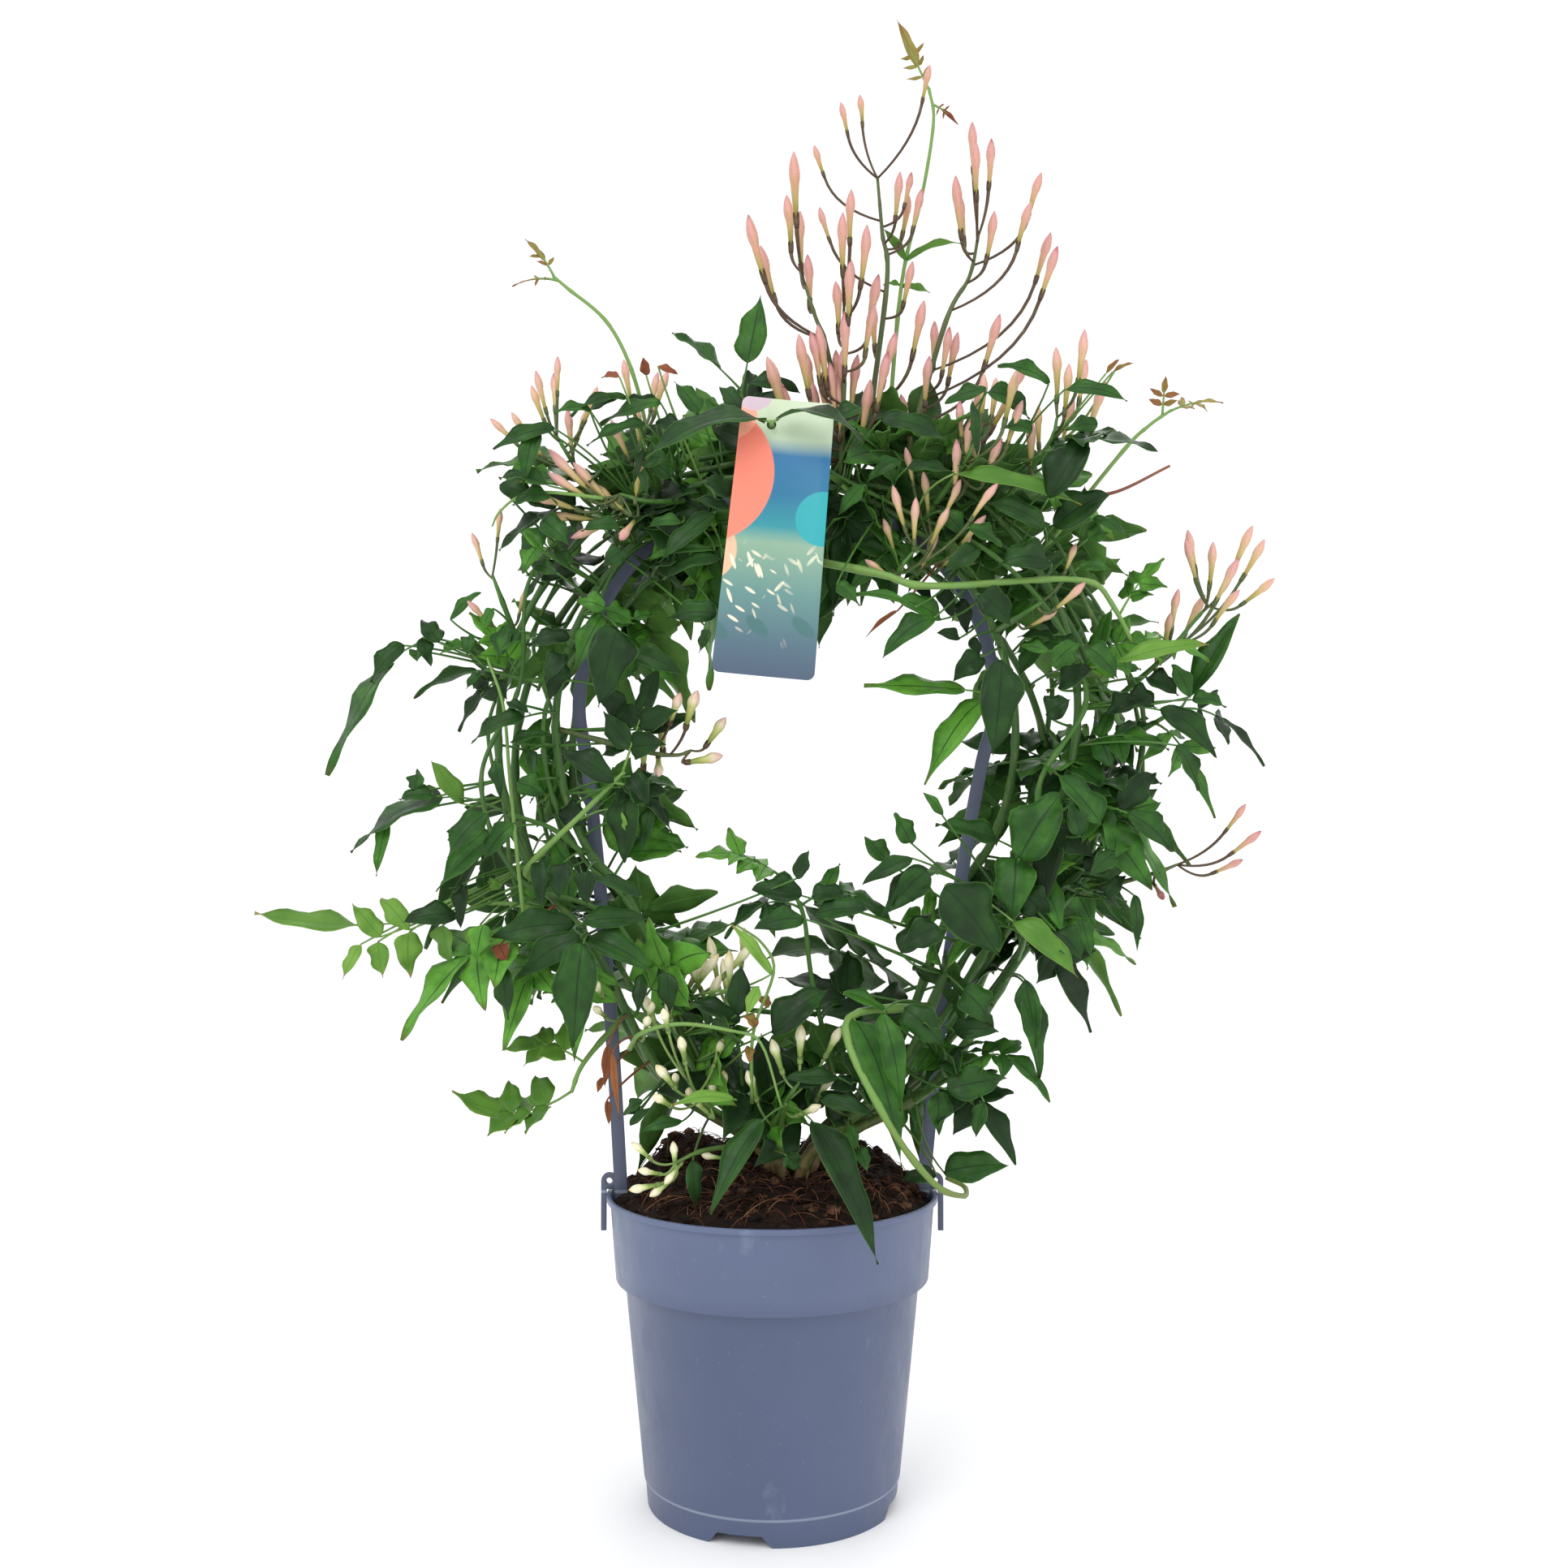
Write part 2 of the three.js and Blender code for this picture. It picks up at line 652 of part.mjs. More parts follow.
// Bud tips are given as [x, z]; their depth spreads round the stem's own.
// Each stalk leaves the stem lower down than its bud, by as much as it stands out sideways.
function budVariants(curve, [x, z], depth, index, size) {
  const end = curve.getPoint(1);
  const y = end.y + depth * (noise(x, z, index) - 0.5);
  return DEPTH_TRIES.map((dy) => {
    const tip = V(x, y + dy, z);
    const root = stalkRoot(curve, tip, size);
    const lean = tip.clone().sub(root).normalize().lerp(UP, 0.25).normalize();
    return { root, tip, lean, size };
  });
}

function stalkRoot(curve, tip, size) {
  const drop = (p) => {
    const sideways = Math.hypot(tip.x - p.x, tip.y - p.y);
    return abs(tip.z - p.z - BUD.length * size * 0.8 - 0.8 * sideways) + 0.4 * sideways;
  };
  let best = curve.getPoint(0.99);
  for (let t = 0.3; t < 0.98; t += 0.03) {
    const p = curve.getPoint(t + 0.02 * noise(tip.x, tip.z, 5));
    if (drop(p) < drop(best)) best = p;
  }
  return best;
}

function makeSpray({ name, stem, tips, depth = 26, size = 1, white = false }) {
  const points = stem.map((p) => V(...p));
  const { curve, body } = growStem(name, points, 1.5, 1.1, 3);
  const bodies = [body];
  tips.forEach((tip, index) => {
    growFirst(name, bodies, budVariants(curve, tip, depth, index, size), makeBud);
  });
  addPiece(name, white ? CREAM : PINK, bodies);
}

// ---------- what grows where ----------

// Flower sprays: the stem's route [x, y, z], then the bud tips [x, z].
const SPRAYS = [
  {
    name: 'spray_top_middle',
    stem: [[48, -4, 473], [49, -6, 515], [47, -6, 537], [45, -6, 561]],
    tips: [
      [38, 602], [18, 578], [66, 601], [29, 589], [60, 565], [20, 546],
      [44, 511], [60, 524], [64, 504], [54, 559], [59, 557], [64, 555],
    ],
  },
  {
    name: 'spray_top_left',
    stem: [[29, -14, 453], [23, -16, 484], [18, -16, 498], [12, -16, 517]],
    tips: [[-10, 538], [-5, 530], [6, 552], [9, 557], [12, 551], [15, 527]],
  },
  {
    name: 'spray_top_low',
    stem: [[30, -24, 440], [30, -24, 470], [30, -22, 499]],
    tips: [
      [29, 533], [33, 547], [34, 527], [39, 529], [32, 514], [45, 516], [11, 485],
      [16, 488], [24, 476], [30, 484], [36, 481], [41, 469], [3, 471], [-2, 476],
    ],
  },
  {
    name: 'spray_top_right',
    stem: [[62, -8, 465], [74, -8, 498], [84, -8, 517], [88, -8, 535]],
    tips: [
      [86, 586], [94, 578], [85, 567], [115, 562], [80, 558], [77, 556], [94, 543],
      [110, 548], [121, 541], [122, 531], [80, 496], [97, 501], [70, 501], [109, 482],
    ],
  },
  {
    name: 'spray_shoulder_outer',
    stem: [[104, -26, 423], [114, -28, 440], [118, -28, 452]],
    tips: [[118, 482], [132, 479], [121, 471], [112, 460], [138, 467]],
  },
  {
    name: 'spray_shoulder_inner',
    stem: [[73, -34, 415], [78, -36, 430], [83, -36, 440]],
    tips: [[99, 467], [93, 469], [88, 471], [82, 451], [75, 440], [94, 441]],
  },
  {
    name: 'spray_front_right',
    stem: [[50, -30, 376], [52, -38, 386], [59, -40, 396]],
    tips: [
      [55, 439], [77, 424], [90, 419], [87, 409], [58, 415], [68, 403], [49, 421],
      [43, 402], [38, 392],
    ],
  },
  {
    name: 'spray_arch_right',
    stem: [[96, -32, 366], [104, -40, 370], [110, -40, 374]],
    tips: [[125, 399], [124, 379], [118, 372]],
  },
  {
    name: 'spray_right',
    stem: [[140, -6, 338], [164, -12, 353], [176, -12, 367], [184, -12, 376]],
    tips: [
      [178, 410], [174, 404], [183, 401], [200, 408], [211, 406], [190, 392],
      [185, 382], [196, 382], [213, 388], [168, 381], [166, 372], [163, 365],
    ],
  },
  {
    name: 'spray_right_low',
    stem: [[128, -20, 252], [157, -22, 263], [168, -22, 267]],
    tips: [[194, 292], [201, 281], [197, 269], [159, 253]],
  },
  {
    name: 'spray_left_outer',
    stem: [[-72, -18, 422], [-84, -20, 436], [-90, -20, 446]],
    tips: [[-89, 478], [-93, 476], [-101, 468], [-111, 459], [-73, 467], [-117, 452], [-84, 455]],
  },
  {
    name: 'spray_left_inner',
    stem: [[-48, -24, 420], [-53, -26, 436], [-54, -26, 446]],
    tips: [[-61, 475], [-48, 474], [-43, 472], [-67, 452], [-57, 460]],
  },
  {
    name: 'spray_left_level',
    stem: [[-30, -34, 408], [-50, -38, 415], [-62, -38, 418]],
    tips: [[-90, 435], [-81, 431], [-90, 425], [-98, 417], [-82, 400], [-53, 436], [-60, 396]],
  },
  {
    name: 'spray_left_side',
    stem: [[-106, -16, 360], [-114, -18, 380], [-117, -18, 388]],
    tips: [[-126, 406], [-112, 414], [-106, 384], [-126, 376]],
  },
  {
    name: 'spray_hole_left',
    stem: [[-74, -26, 321], [-55, -28, 314], [-40, -28, 312], [-33, -28, 314]],
    tips: [[-37, 337], [-30, 338], [-19, 328], [-20, 312], [-46, 329], [-52, 322], [-46, 303]],
    size: 0.75,
    white: true,
  },
  {
    name: 'spray_low_back',
    stem: [[-7, -10, 166], [-14, -14, 190], [-18, -14, 207]],
    tips: [[-27, 236], [-17, 233], [-37, 230], [-21, 227], [-12, 239]],
    size: 0.6,
    white: true,
  },
  {
    name: 'spray_low_left',
    stem: [[-12, -20, 155], [-26, -34, 170], [-34, -36, 180]],
    tips: [[-52, 214], [-42, 212], [-36, 200], [-20, 196], [-46, 188], [-46, 178], [-34, 174]],
    size: 0.5,
    white: true,
  },
  {
    name: 'spray_low_right',
    stem: [[0, -20, 156], [6, -38, 172], [11, -42, 180]],
    tips: [[0, 197], [12, 203], [28, 201], [26, 182], [20, 171], [-10, 184]],
    size: 0.55,
    white: true,
  },
  {
    name: 'spray_over_soil',
    stem: [[-8, -20, 156], [-26, -46, 154], [-38, -52, 150]],
    tips: [[-56, 157], [-52, 149], [-56, 140], [-48, 137], [-42, 142], [-39, 158], [-29, 148]],
    depth: 16,
    size: 0.45,
    white: true,
  },
];

// Leafy shoots: the stem's route, then the leaves [place along it, tip, arch, pairs].
const SHOOTS = [
  {
    name: 'shoot_tip',
    route: [[54, 4, 462], [56, 4, 518], [65, 4, 557], [70, 4, 589], [68, 4, 604]],
    leaves: [[0.98, [54, 4, 634], 0, 3], [0.86, [81, 4, 588], 1, 2]],
    young: true,
  },
  {
    name: 'shoot_arch_left',
    route: [[-52, -10, 440], [-57, -12, 468], [-69, -12, 495], [-87, -12, 511], [-93, -12, 516]],
    leaves: [[0.96, [-105, -12, 532], 2, 2], [0.86, [-110, -14, 511], 2, 2]],
    young: true,
  },
  {
    name: 'shoot_right',
    route: [[130, -6, 412], [148, -8, 441], [160, -8, 453], [170, -8, 460]],
    leaves: [[0.96, [192, -8, 463], 2, 2], [0.86, [167, -10, 474], 1, 2]],
    young: true,
  },
  {
    name: 'trail_left_high',
    route: [[-86, -14, 340], [-102, -18, 344], [-119, -20, 348]],
    leaves: [[0.98, [-184, -24, 304], 31, 3], [0.7, [-130, -22, 322], 6], [0.6, [-126, -20, 388], 3]],
  },
  {
    name: 'trail_left_mid',
    route: [[-79, -14, 274], [-92, -18, 282], [-110, -20, 288]],
    leaves: [[0.98, [-174, -24, 272], 14, 3], [0.6, [-136, -24, 256], 8]],
  },
  {
    name: 'trail_left_bright',
    route: [[-89, -14, 240], [-105, -18, 250], [-118, -20, 251]],
    leaves: [[0.98, [-214, -22, 247], -7, 4]],
    young: true,
  },
  {
    name: 'shoot_low_left',
    route: [[-69, -16, 217], [-84, -26, 232], [-97, -28, 237]],
    leaves: [[0.98, [-151, -30, 195], 14], [0.65, [-109, -34, 192], 10], [0.3, [-80, -38, 188], 10]],
  },
  {
    name: 'trail_low_bright',
    route: [[-62, -10, 205], [-77, -16, 186], [-82, -18, 174]],
    leaves: [[0.98, [-132, -20, 174], -9, 3], [0.5, [-112, -20, 190], 5]],
    young: true,
  },
  {
    name: 'shoot_label',
    route: [[10, -20, 428], [3, -44, 441], [0, -56, 443]],
    leaves: [[0.97, [-48, -60, 424], 8], [0.97, [36, -60, 430], 8]],
    young: true,
  },
  {
    name: 'shoot_hole_low',
    route: [[17, -4, 180], [17, -6, 217], [13, -8, 246], [4, -8, 262]],
    leaves: [[0.98, [-32, -10, 270], 5, 3], [0.7, [-20, -14, 236], 8], [0.72, [52, -12, 240], 10]],
  },
  {
    name: 'shoot_hole_right',
    route: [[100, -18, 333], [90, -24, 338]],
    leaves: [[0.97, [38, -26, 341], 1], [0.6, [62, -30, 300], 8]],
    young: true,
  },
  {
    name: 'shoot_level',
    route: [
      [40, -20, 392], [46, -40, 384], [70, -42, 380], [105, -42, 382], [130, -38, 382],
      [141, -34, 370], [148, -30, 358],
    ],
    leaves: [[0.99, [180, -30, 350], 4], [0.85, [160, -36, 392], 3]],
    thick: 1.9,
    young: true,
  },
  {
    name: 'shoot_diagonal',
    route: [[-112, -14, 256], [-100, -28, 266], [-76, -34, 289], [-60, -34, 305]],
    leaves: [[0.98, [-46, -34, 350], 0], [0.9, [-40, -38, 280], 5]],
    thick: 1.8,
    young: true,
  },
  {
    name: 'shoot_loop',
    route: [
      [30, -20, 215], [30, -46, 205], [44, -62, 170], [62, -68, 147], [77, -54, 140], [78, -40, 146],
    ],
    leaves: [[0.15, [50, -60, 150], 12]],
    thick: 1.9,
    young: true,
  },
  {
    name: 'shoot_right_tip',
    route: [[140, -8, 318], [160, -16, 326], [172, -16, 333]],
    leaves: [[0.98, [196, -16, 372], 0], [0.9, [206, -16, 308], 8], [0.5, [184, -20, 286], 8]],
  },
  {
    name: 'shoot_top_left',
    route: [[-11, -8, 436], [-13, -12, 468]],
    leaves: [[0.97, [-42, -12, 490], 2], [0.95, [-5, -12, 508], 0]],
  },
  {
    name: 'shoot_over_pot',
    route: [[8, -20, 160], [6, -44, 172]],
    leaves: [[0.97, [-24, -64, 133], 8], [0.97, [40, -82, 118], 14]],
  },
  {
    name: 'shoot_low_right',
    route: [[60, -14, 172], [78, -32, 184]],
    leaves: [[0.97, [112, -40, 172], 12], [0.6, [98, -44, 148], 8], [0.6, [60, -52, 205], 6]],
  },
  {
    name: 'shoot_mid_right',
    route: [[96, -16, 236], [104, -34, 240]],
    leaves: [[0.97, [128, -42, 200], 10], [0.8, [70, -46, 226], 10], [0.5, [150, -36, 226], 8]],
  },
  {
    name: 'shoot_upper_right',
    route: [[112, -14, 290], [124, -30, 292]],
    leaves: [[0.97, [164, -34, 250], 14], [0.8, [108, -40, 246], 12], [0.4, [160, -30, 300], 8]],
  },
  {
    name: 'shoot_shoulder_right',
    route: [[92, -18, 418], [104, -30, 432]],
    leaves: [[0.97, [154, -28, 440], 8], [0.6, [140, -34, 400], 8], [0.4, [60, -40, 440], 8]],
  },
  {
    name: 'shoot_shoulder_left',
    route: [[-66, -14, 408], [-78, -28, 418]],
    leaves: [[0.97, [-124, -28, 440], 8], [0.7, [-112, -32, 396], 8], [0.4, [-34, -40, 396], 8]],
  },
];

// Leafy stems along the wreath's back and rim, each over its own stretch of the ring.
const BACK_STEMS = [
  { name: 'back_right_low', from: -38, to: -8 },
  { name: 'back_right_high', from: 8, to: 40 },
  { name: 'back_top_right', from: 52, to: 80 },
  { name: 'back_top_left', from: 92, to: 122 },
  { name: 'back_left_high', from: 134, to: 164 },
  { name: 'back_left_low', from: 176, to: 206 },
  { name: 'back_low', from: 236, to: 300 },
];
const BACK = { depth: 26, outwards: 6, leaves: 3, arch: 10 };

function backShoot({ name, from, to }, k) {
  const depth = (t) => BACK.depth + 8 * sin(PI * t);
  const at = (t) => ringPoint(mix(from, to, t), BACK.outwards, depth(t));
  const route = [at(0), at(0.33), at(0.66), at(1)].map((p) => p.toArray());
  const leaves = [];
  for (let i = 0; i < BACK.leaves; i++) {
    const t = 0.3 + (0.68 * i) / (BACK.leaves - 1);
    const outwards = i % 2 ? 34 : 62;
    const angle = mix(from, to, t) + 26 * (noise(k, i, 1) - 0.4);
    const tip = ringPoint(angle, outwards, i % 2 ? BACK.depth + 46 : 18);
    tip.z -= 14 + 16 * noise(k, i, 2);
    leaves.push([t, tip.toArray(), BACK.arch]);
  }
  return { name, route, leaves };
}

// ---------- the whole plant ----------

// The clear way through the wreath, from front to back.
const OPENING = { x: [-14, 53], z: [277, 336], depth: 190 };
const way = new THREE.BoxGeometry(
  OPENING.x[1] - OPENING.x[0],
  OPENING.depth,
  OPENING.z[1] - OPENING.z[0],
);
way.translate((OPENING.x[0] + OPENING.x[1]) / 2, 0, (OPENING.z[0] + OPENING.z[1]) / 2);

makePot();
makeSoil([...vineHoles(), ...hoopHoles()]);
makeHoop();
makeVines();
keepClearOf('opening', solid(way));
makeLabel();
const long = SHOOTS.filter((shoot) => shoot.thick);
long.forEach(makeShoot);
SPRAYS.forEach(makeSpray);
SHOOTS.filter((shoot) => !shoot.thick).forEach(makeShoot);
BACK_STEMS.map(backShoot).forEach(makeShoot);

export default plant;
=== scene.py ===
# %% [markdown]
# # A pink jasmine wreath in a nursery pot
#
# This lesson dresses a potted climber: eight vines that twine over a plastic hoop, hundreds of
# pinnate leaves, sprays of long pink buds, loose peat and a moulded pot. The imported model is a
# frame that stays fixed. Every piece made here stands where the frame has its plainer solid.
#
# Lengths are in millimetres, and `MM` turns them into Blender's metres in one place.

# %% Load the fixed frame
from functools import cache
from math import cos, exp, floor, hypot, pi, radians, sin, sqrt

import bmesh
import bpy
import numpy as np
from mathutils import Matrix, Vector, noise as mnoise


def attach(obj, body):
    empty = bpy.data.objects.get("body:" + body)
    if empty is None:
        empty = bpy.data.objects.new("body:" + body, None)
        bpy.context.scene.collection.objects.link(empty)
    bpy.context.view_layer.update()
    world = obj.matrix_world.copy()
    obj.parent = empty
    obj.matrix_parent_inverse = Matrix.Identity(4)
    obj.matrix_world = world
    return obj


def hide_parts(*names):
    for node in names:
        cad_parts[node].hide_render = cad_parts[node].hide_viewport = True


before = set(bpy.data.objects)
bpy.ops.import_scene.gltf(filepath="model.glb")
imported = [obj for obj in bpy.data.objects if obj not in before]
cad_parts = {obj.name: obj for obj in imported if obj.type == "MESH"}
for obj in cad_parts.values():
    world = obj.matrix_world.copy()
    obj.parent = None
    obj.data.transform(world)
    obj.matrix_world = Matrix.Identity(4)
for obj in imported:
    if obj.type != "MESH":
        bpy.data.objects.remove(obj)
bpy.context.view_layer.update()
MM = 0.001
print("the frame holds", len(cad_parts), "nodes")

# %% [markdown]
# ## Small tools
#
# A plant needs chance that never changes, so `noise` is a formula and not a random generator.
# Two kinds of curve carry everything that grows: a smooth line through points for vines and
# stems, and a simple bow for leaf stalks and bud stalks.

# %% Fixed chance and mixing
UP = np.array([0.0, 0.0, 1.0])


def noise(a, b, c):
    """A fixed value from 0 to 1 for three numbers."""
    s = sin(a * 12.9898 + b * 78.233 + c * 37.719) * 43758.5453
    return s - floor(s)


def mix(a, b, t):
    """The value a share t of the way from a to b."""
    return a + (b - a) * t


def vec(*numbers):
    return np.array(numbers, float)


def unit(v):
    """A vector, or a row of vectors, at length 1."""
    return v / np.linalg.norm(v, axis=-1, keepdims=True)


# %% Curves that stems and stalks follow
class Curve:
    """What both kinds of curve share: directions and a length."""

    def tangent(self, t):
        t = np.atleast_1d(np.asarray(t, float))
        ahead = self.at(np.clip(t + 1e-4, 0, 1))
        return unit(ahead - self.at(np.clip(t - 1e-4, 0, 1)))

    def length(self):
        path = self.at(np.linspace(0, 1, 200))
        return np.linalg.norm(np.diff(path, axis=0), axis=1).sum()


class Through(Curve):
    """A smooth curve through points, with one span between each two."""

    def __init__(self, points):
        p = np.array(points, float)
        self.spans = len(p) - 1
        self.knots = np.vstack([2 * p[0] - p[1], p, 2 * p[-1] - p[-2]])

    def at(self, t):
        place = np.clip(np.atleast_1d(np.asarray(t, float)), 0, 1) * self.spans
        i = np.minimum(place.astype(int), self.spans - 1)
        w = (place - i)[:, None]
        a, b, c, d = (self.knots[i + k] for k in range(4))
        bend = (2 * a - 5 * b + 4 * c - d) * w**2 + (3 * b - a - 3 * c + d) * w**3
        return 0.5 * (2 * b + (c - a) * w + bend)


class Bow(Curve):
    """One plain bow from a start to an end, pulled towards a point between them."""

    def __init__(self, start, pull, end):
        self.start, self.pull, self.end = start, pull, end

    def at(self, t):
        t = np.atleast_1d(np.asarray(t, float))[:, None]
        return (1 - t) ** 2 * self.start + 2 * t * (1 - t) * self.pull + t**2 * self.end


# %% [markdown]
# ## Materials
#
# Every finish is a small node tree of its own: a colour that varies, a roughness that varies,
# and a fine bump. Patterns read Object coordinates, where the whole plant shares one space.
# Leaves, buds and stems also carry an attribute named `growth`, written while they are built:
# x runs across, y runs from root to tip, and z is a tone of their own.

# %% Helpers for node trees
def srgb(code):
    """The linear colour of a hex code such as "2c5a30"."""
    parts = [int(code[i : i + 2], 16) / 255 for i in (0, 2, 4)]
    return [p / 12.92 if p <= 0.04045 else ((p + 0.055) / 1.055) ** 2.4 for p in parts] + [1]


class Finish:
    """A material under construction, with short calls for the nodes this plant needs."""

    def __init__(self, name, roughness, **sockets):
        self.material = bpy.data.materials.new(name)
        self.material.use_nodes = True
        self.tree = self.material.node_tree
        self.shader = self.tree.nodes["Principled BSDF"]
        self.shader.inputs["Roughness"].default_value = roughness
        for socket, value in sockets.items():
            self.shader.inputs[socket.replace("_", " ")].default_value = value

    def node(self, kind, inputs=(), **settings):
        made = self.tree.nodes.new(kind)
        for key, value in settings.items():
            setattr(made, key, value)
        for socket, value in dict(inputs).items():
            self.feed(made.inputs[socket], value)
        return made

    def feed(self, socket, value):
        if isinstance(value, bpy.types.NodeSocket):
            self.tree.links.new(value, socket)
        else:
            socket.default_value = value

    def place(self, scale=(1, 1, 1), move=(0, 0, 0), turn=(0, 0, 0)):
        """Object coordinates, moved, turned and scaled."""
        source = self.node("ShaderNodeTexCoord").outputs["Object"]
        values = {"Vector": source, "Scale": scale, "Location": move, "Rotation": turn}
        return self.node("ShaderNodeMapping", values).outputs["Vector"]

    def growth(self):
        """The sockets of the growth attribute: across, along and tone."""
        source = self.node("ShaderNodeAttribute", attribute_name="growth").outputs["Vector"]
        return self.node("ShaderNodeSeparateXYZ", {"Vector": source}).outputs

    def grain(self, scale, detail=3, where=None, rough=0.5):
        values = {"Scale": scale, "Detail": detail, "Roughness": rough}
        values["Vector"] = where if where is not None else self.place()
        return self.node("ShaderNodeTexNoise", values).outputs["Fac"]

    def math(self, operation, a, b=0.5, c=0.5):
        return self.node("ShaderNodeMath", {0: a, 1: b, 2: c}, operation=operation).outputs[0]

    def fade(self, value, low, high, start=0.0, end=1.0):
        """The value's range from low to high, turned into start to end and clamped."""
        values = {"Value": value, 1: low, 2: high, 3: start, 4: end}
        return self.node("ShaderNodeMapRange", values).outputs["Result"]

    def spread(self, grain, start=0.0, end=1.0):
        """A grain's usual values, 0.3 to 0.7, turned into start to end."""
        return self.fade(grain, 0.3, 0.7, start, end)

    def height(self, where=None):
        """The z of a place, or of the object's own coordinates."""
        where = self.place() if where is None else where
        return self.node("ShaderNodeSeparateXYZ", {"Vector": where}).outputs["Z"]

    def ramp(self, value, stops):
        """A colour ramp through stops such as (0.2, "2c5a30")."""
        made = self.node("ShaderNodeValToRGB", {"Fac": value})
        elements = made.color_ramp.elements
        while len(elements) < len(stops):
            elements.new(1)
        for element, (at, code) in zip(elements, stops):
            element.position = at
            element.color = srgb(code)
        return made.outputs["Color"]

    def blend(self, share, a, b, kind="MIX"):
        made = self.node("ShaderNodeMix", data_type="RGBA", blend_type=kind)
        for index, value in ((0, share), (6, a), (7, b)):
            self.feed(made.inputs[index], value)
        return made.outputs[2]

    def colour(self, value):
        self.feed(self.shader.inputs["Base Color"], value)

    def rough(self, value):
        self.feed(self.shader.inputs["Roughness"], value)

    def bump(self, height, strength, depth):
        values = {"Height": height, "Strength": strength, "Distance": depth}
        made = self.node("ShaderNodeBump", values)
        self.tree.links.new(made.outputs["Normal"], self.shader.inputs["Normal"])


# %% [markdown]
# ## Leaf finishes
#
# A jasmine leaflet is dark and glossy above, with a sunken dark midrib, faint side veins that
# run forward to the margin, and a thin light rim. Below it is matt and paler. Young leaves are
# yellow-green, and the newest ones are bronze. One function makes them all, because only the
# colours change.

# %% Leaf finishes
def leaf_finish(name, tones, rib, margin, tip, roughness, tip_start=0.9, tip_share=0.5):
    """tones: colours for tone 0 to 1. rib, margin and tip: the tints of those places."""
    finish = Finish(name, roughness, Specular_IOR_Level=0.2)
    across, along, tone = finish.growth()
    side = finish.math("ABSOLUTE", across)
    stops = [(i / (len(tones) - 1), code) for i, code in enumerate(tones)]
    cloud = finish.grain(90, 4)
    shade = finish.math("ADD", tone, finish.spread(cloud, -0.2, 0.2))
    base = finish.ramp(shade, stops)
    slant = finish.math("MULTIPLY_ADD", side, -1.1, finish.math("MULTIPLY", along, 7.0))
    wave = finish.math("PINGPONG", slant, 0.5)
    veins = finish.math("MULTIPLY", finish.fade(wave, 0.0, 0.08, 1, 0), 0.16)
    midrib = finish.math("MULTIPLY", finish.fade(side, 0.02, 0.08, 1, 0), 0.8)
    sunk = finish.math("MAXIMUM", veins, midrib)
    veined = finish.blend(sunk, base, srgb(rib))
    rim = finish.math("MULTIPLY", finish.fade(side, 0.92, 0.99), 0.35)
    rimmed = finish.blend(rim, veined, srgb(margin))
    at = finish.math("ADD", along, finish.fade(tone, 0, 1, -0.08, 0.04))
    tinted = finish.math("MULTIPLY", finish.fade(at, tip_start, 1.0), tip_share)
    finish.colour(finish.blend(tinted, rimmed, srgb(tip)))
    gloss = finish.spread(finish.grain(240, 2), roughness - 0.06, roughness + 0.12)
    finish.rough(gloss)
    finish.bump(finish.math("MULTIPLY_ADD", sunk, -0.8, cloud), 0.35, 0.0004)
    return finish.material


LEAF = leaf_finish(
    "leaf_glossy", ["162b12", "1d3c17", "28501b", "3a6c21", "5c9634"], "142c12", "5f9440", "5c4a26",
    0.4,
)
# partly painted shade: the underside is paler than the upper side, but its tones are darkened as painted
# shade for the leaves at the back that show it
SHADED_UNDERSIDE = leaf_finish(
    "leaf_underside_shaded", ["2a4a20", "365a26", "46702e", "5e8a3c"], "5d8444", "6a9050", "6a5f3a", 0.55
)
YOUNG = leaf_finish(
    "leaf_young", ["48722a", "578230", "69943a", "7ea648"], "4a7a2a", "9cc060", "9a6238",
    0.38, 0.84, 0.85,
)
YOUNG_BACK = leaf_finish(
    "leaf_young_back", ["6a9238", "789f40", "88ac4c", "98b85a"], "a4c070", "aac87a", "a8743c",
    0.5, 0.8, 0.7,
)
BRONZE = leaf_finish(
    "leaf_bronze", ["7a3c2c", "8a5432", "85783a", "969048"], "6e4424", "b08a54", "84402a",
    0.42, 0.6, 0.7,
)
DRIED = leaf_finish(
    "leaf_dried", ["5a3220", "74422a", "8a5836", "6b4a34"], "3c2418", "a98560", "3c2418", 0.75
)
print("materials with the leaves' six:", len(bpy.data.materials))

# %% [markdown]
# ## Stems, buds and stalks
#
# Old wood at the crown is brown and turns green as it climbs. A bud fades from a dark calyx
# through cream and peach to a deep pink tip, and its rolled petals leave a faint spiral.

# %% Stem and bud finishes
def stem_finish(name, foot, middle, top, roughness=0.45):
    """A stem that changes from its foot colour near the peat to its top colour."""
    finish = Finish(name, roughness, Specular_IOR_Level=0.4)
    height = finish.height()
    speckle = finish.spread(finish.grain(35), -0.15, 0.15)
    climb = finish.math("ADD", finish.fade(height, 0.138, 0.2), speckle)
    base = finish.ramp(climb, [(0.0, foot), (0.55, middle), (1.0, top)])
    streak = finish.grain(60, 4, finish.place((6, 6, 1)))
    finish.colour(finish.blend(finish.fade(streak, 0.55, 0.75, 0, 0.35), base, srgb("8a8a4e")))
    finish.bump(streak, 0.3, 0.0004)
    return finish.material


VINE = stem_finish("vine_bark", "71583c", "456228", "3c6428")
STEM = stem_finish("stem_green", "556a2e", "40682a", "42702a")
FRESH_STEM = stem_finish("stem_fresh", "6a7a3a", "688f42", "70964a")
OLIVE = stem_finish("stem_olive", "55602e", "4d5e30", "4c5a30")
RED_STEM = stem_finish("stem_red", "6a3a2c", "7c4636", "86503c")


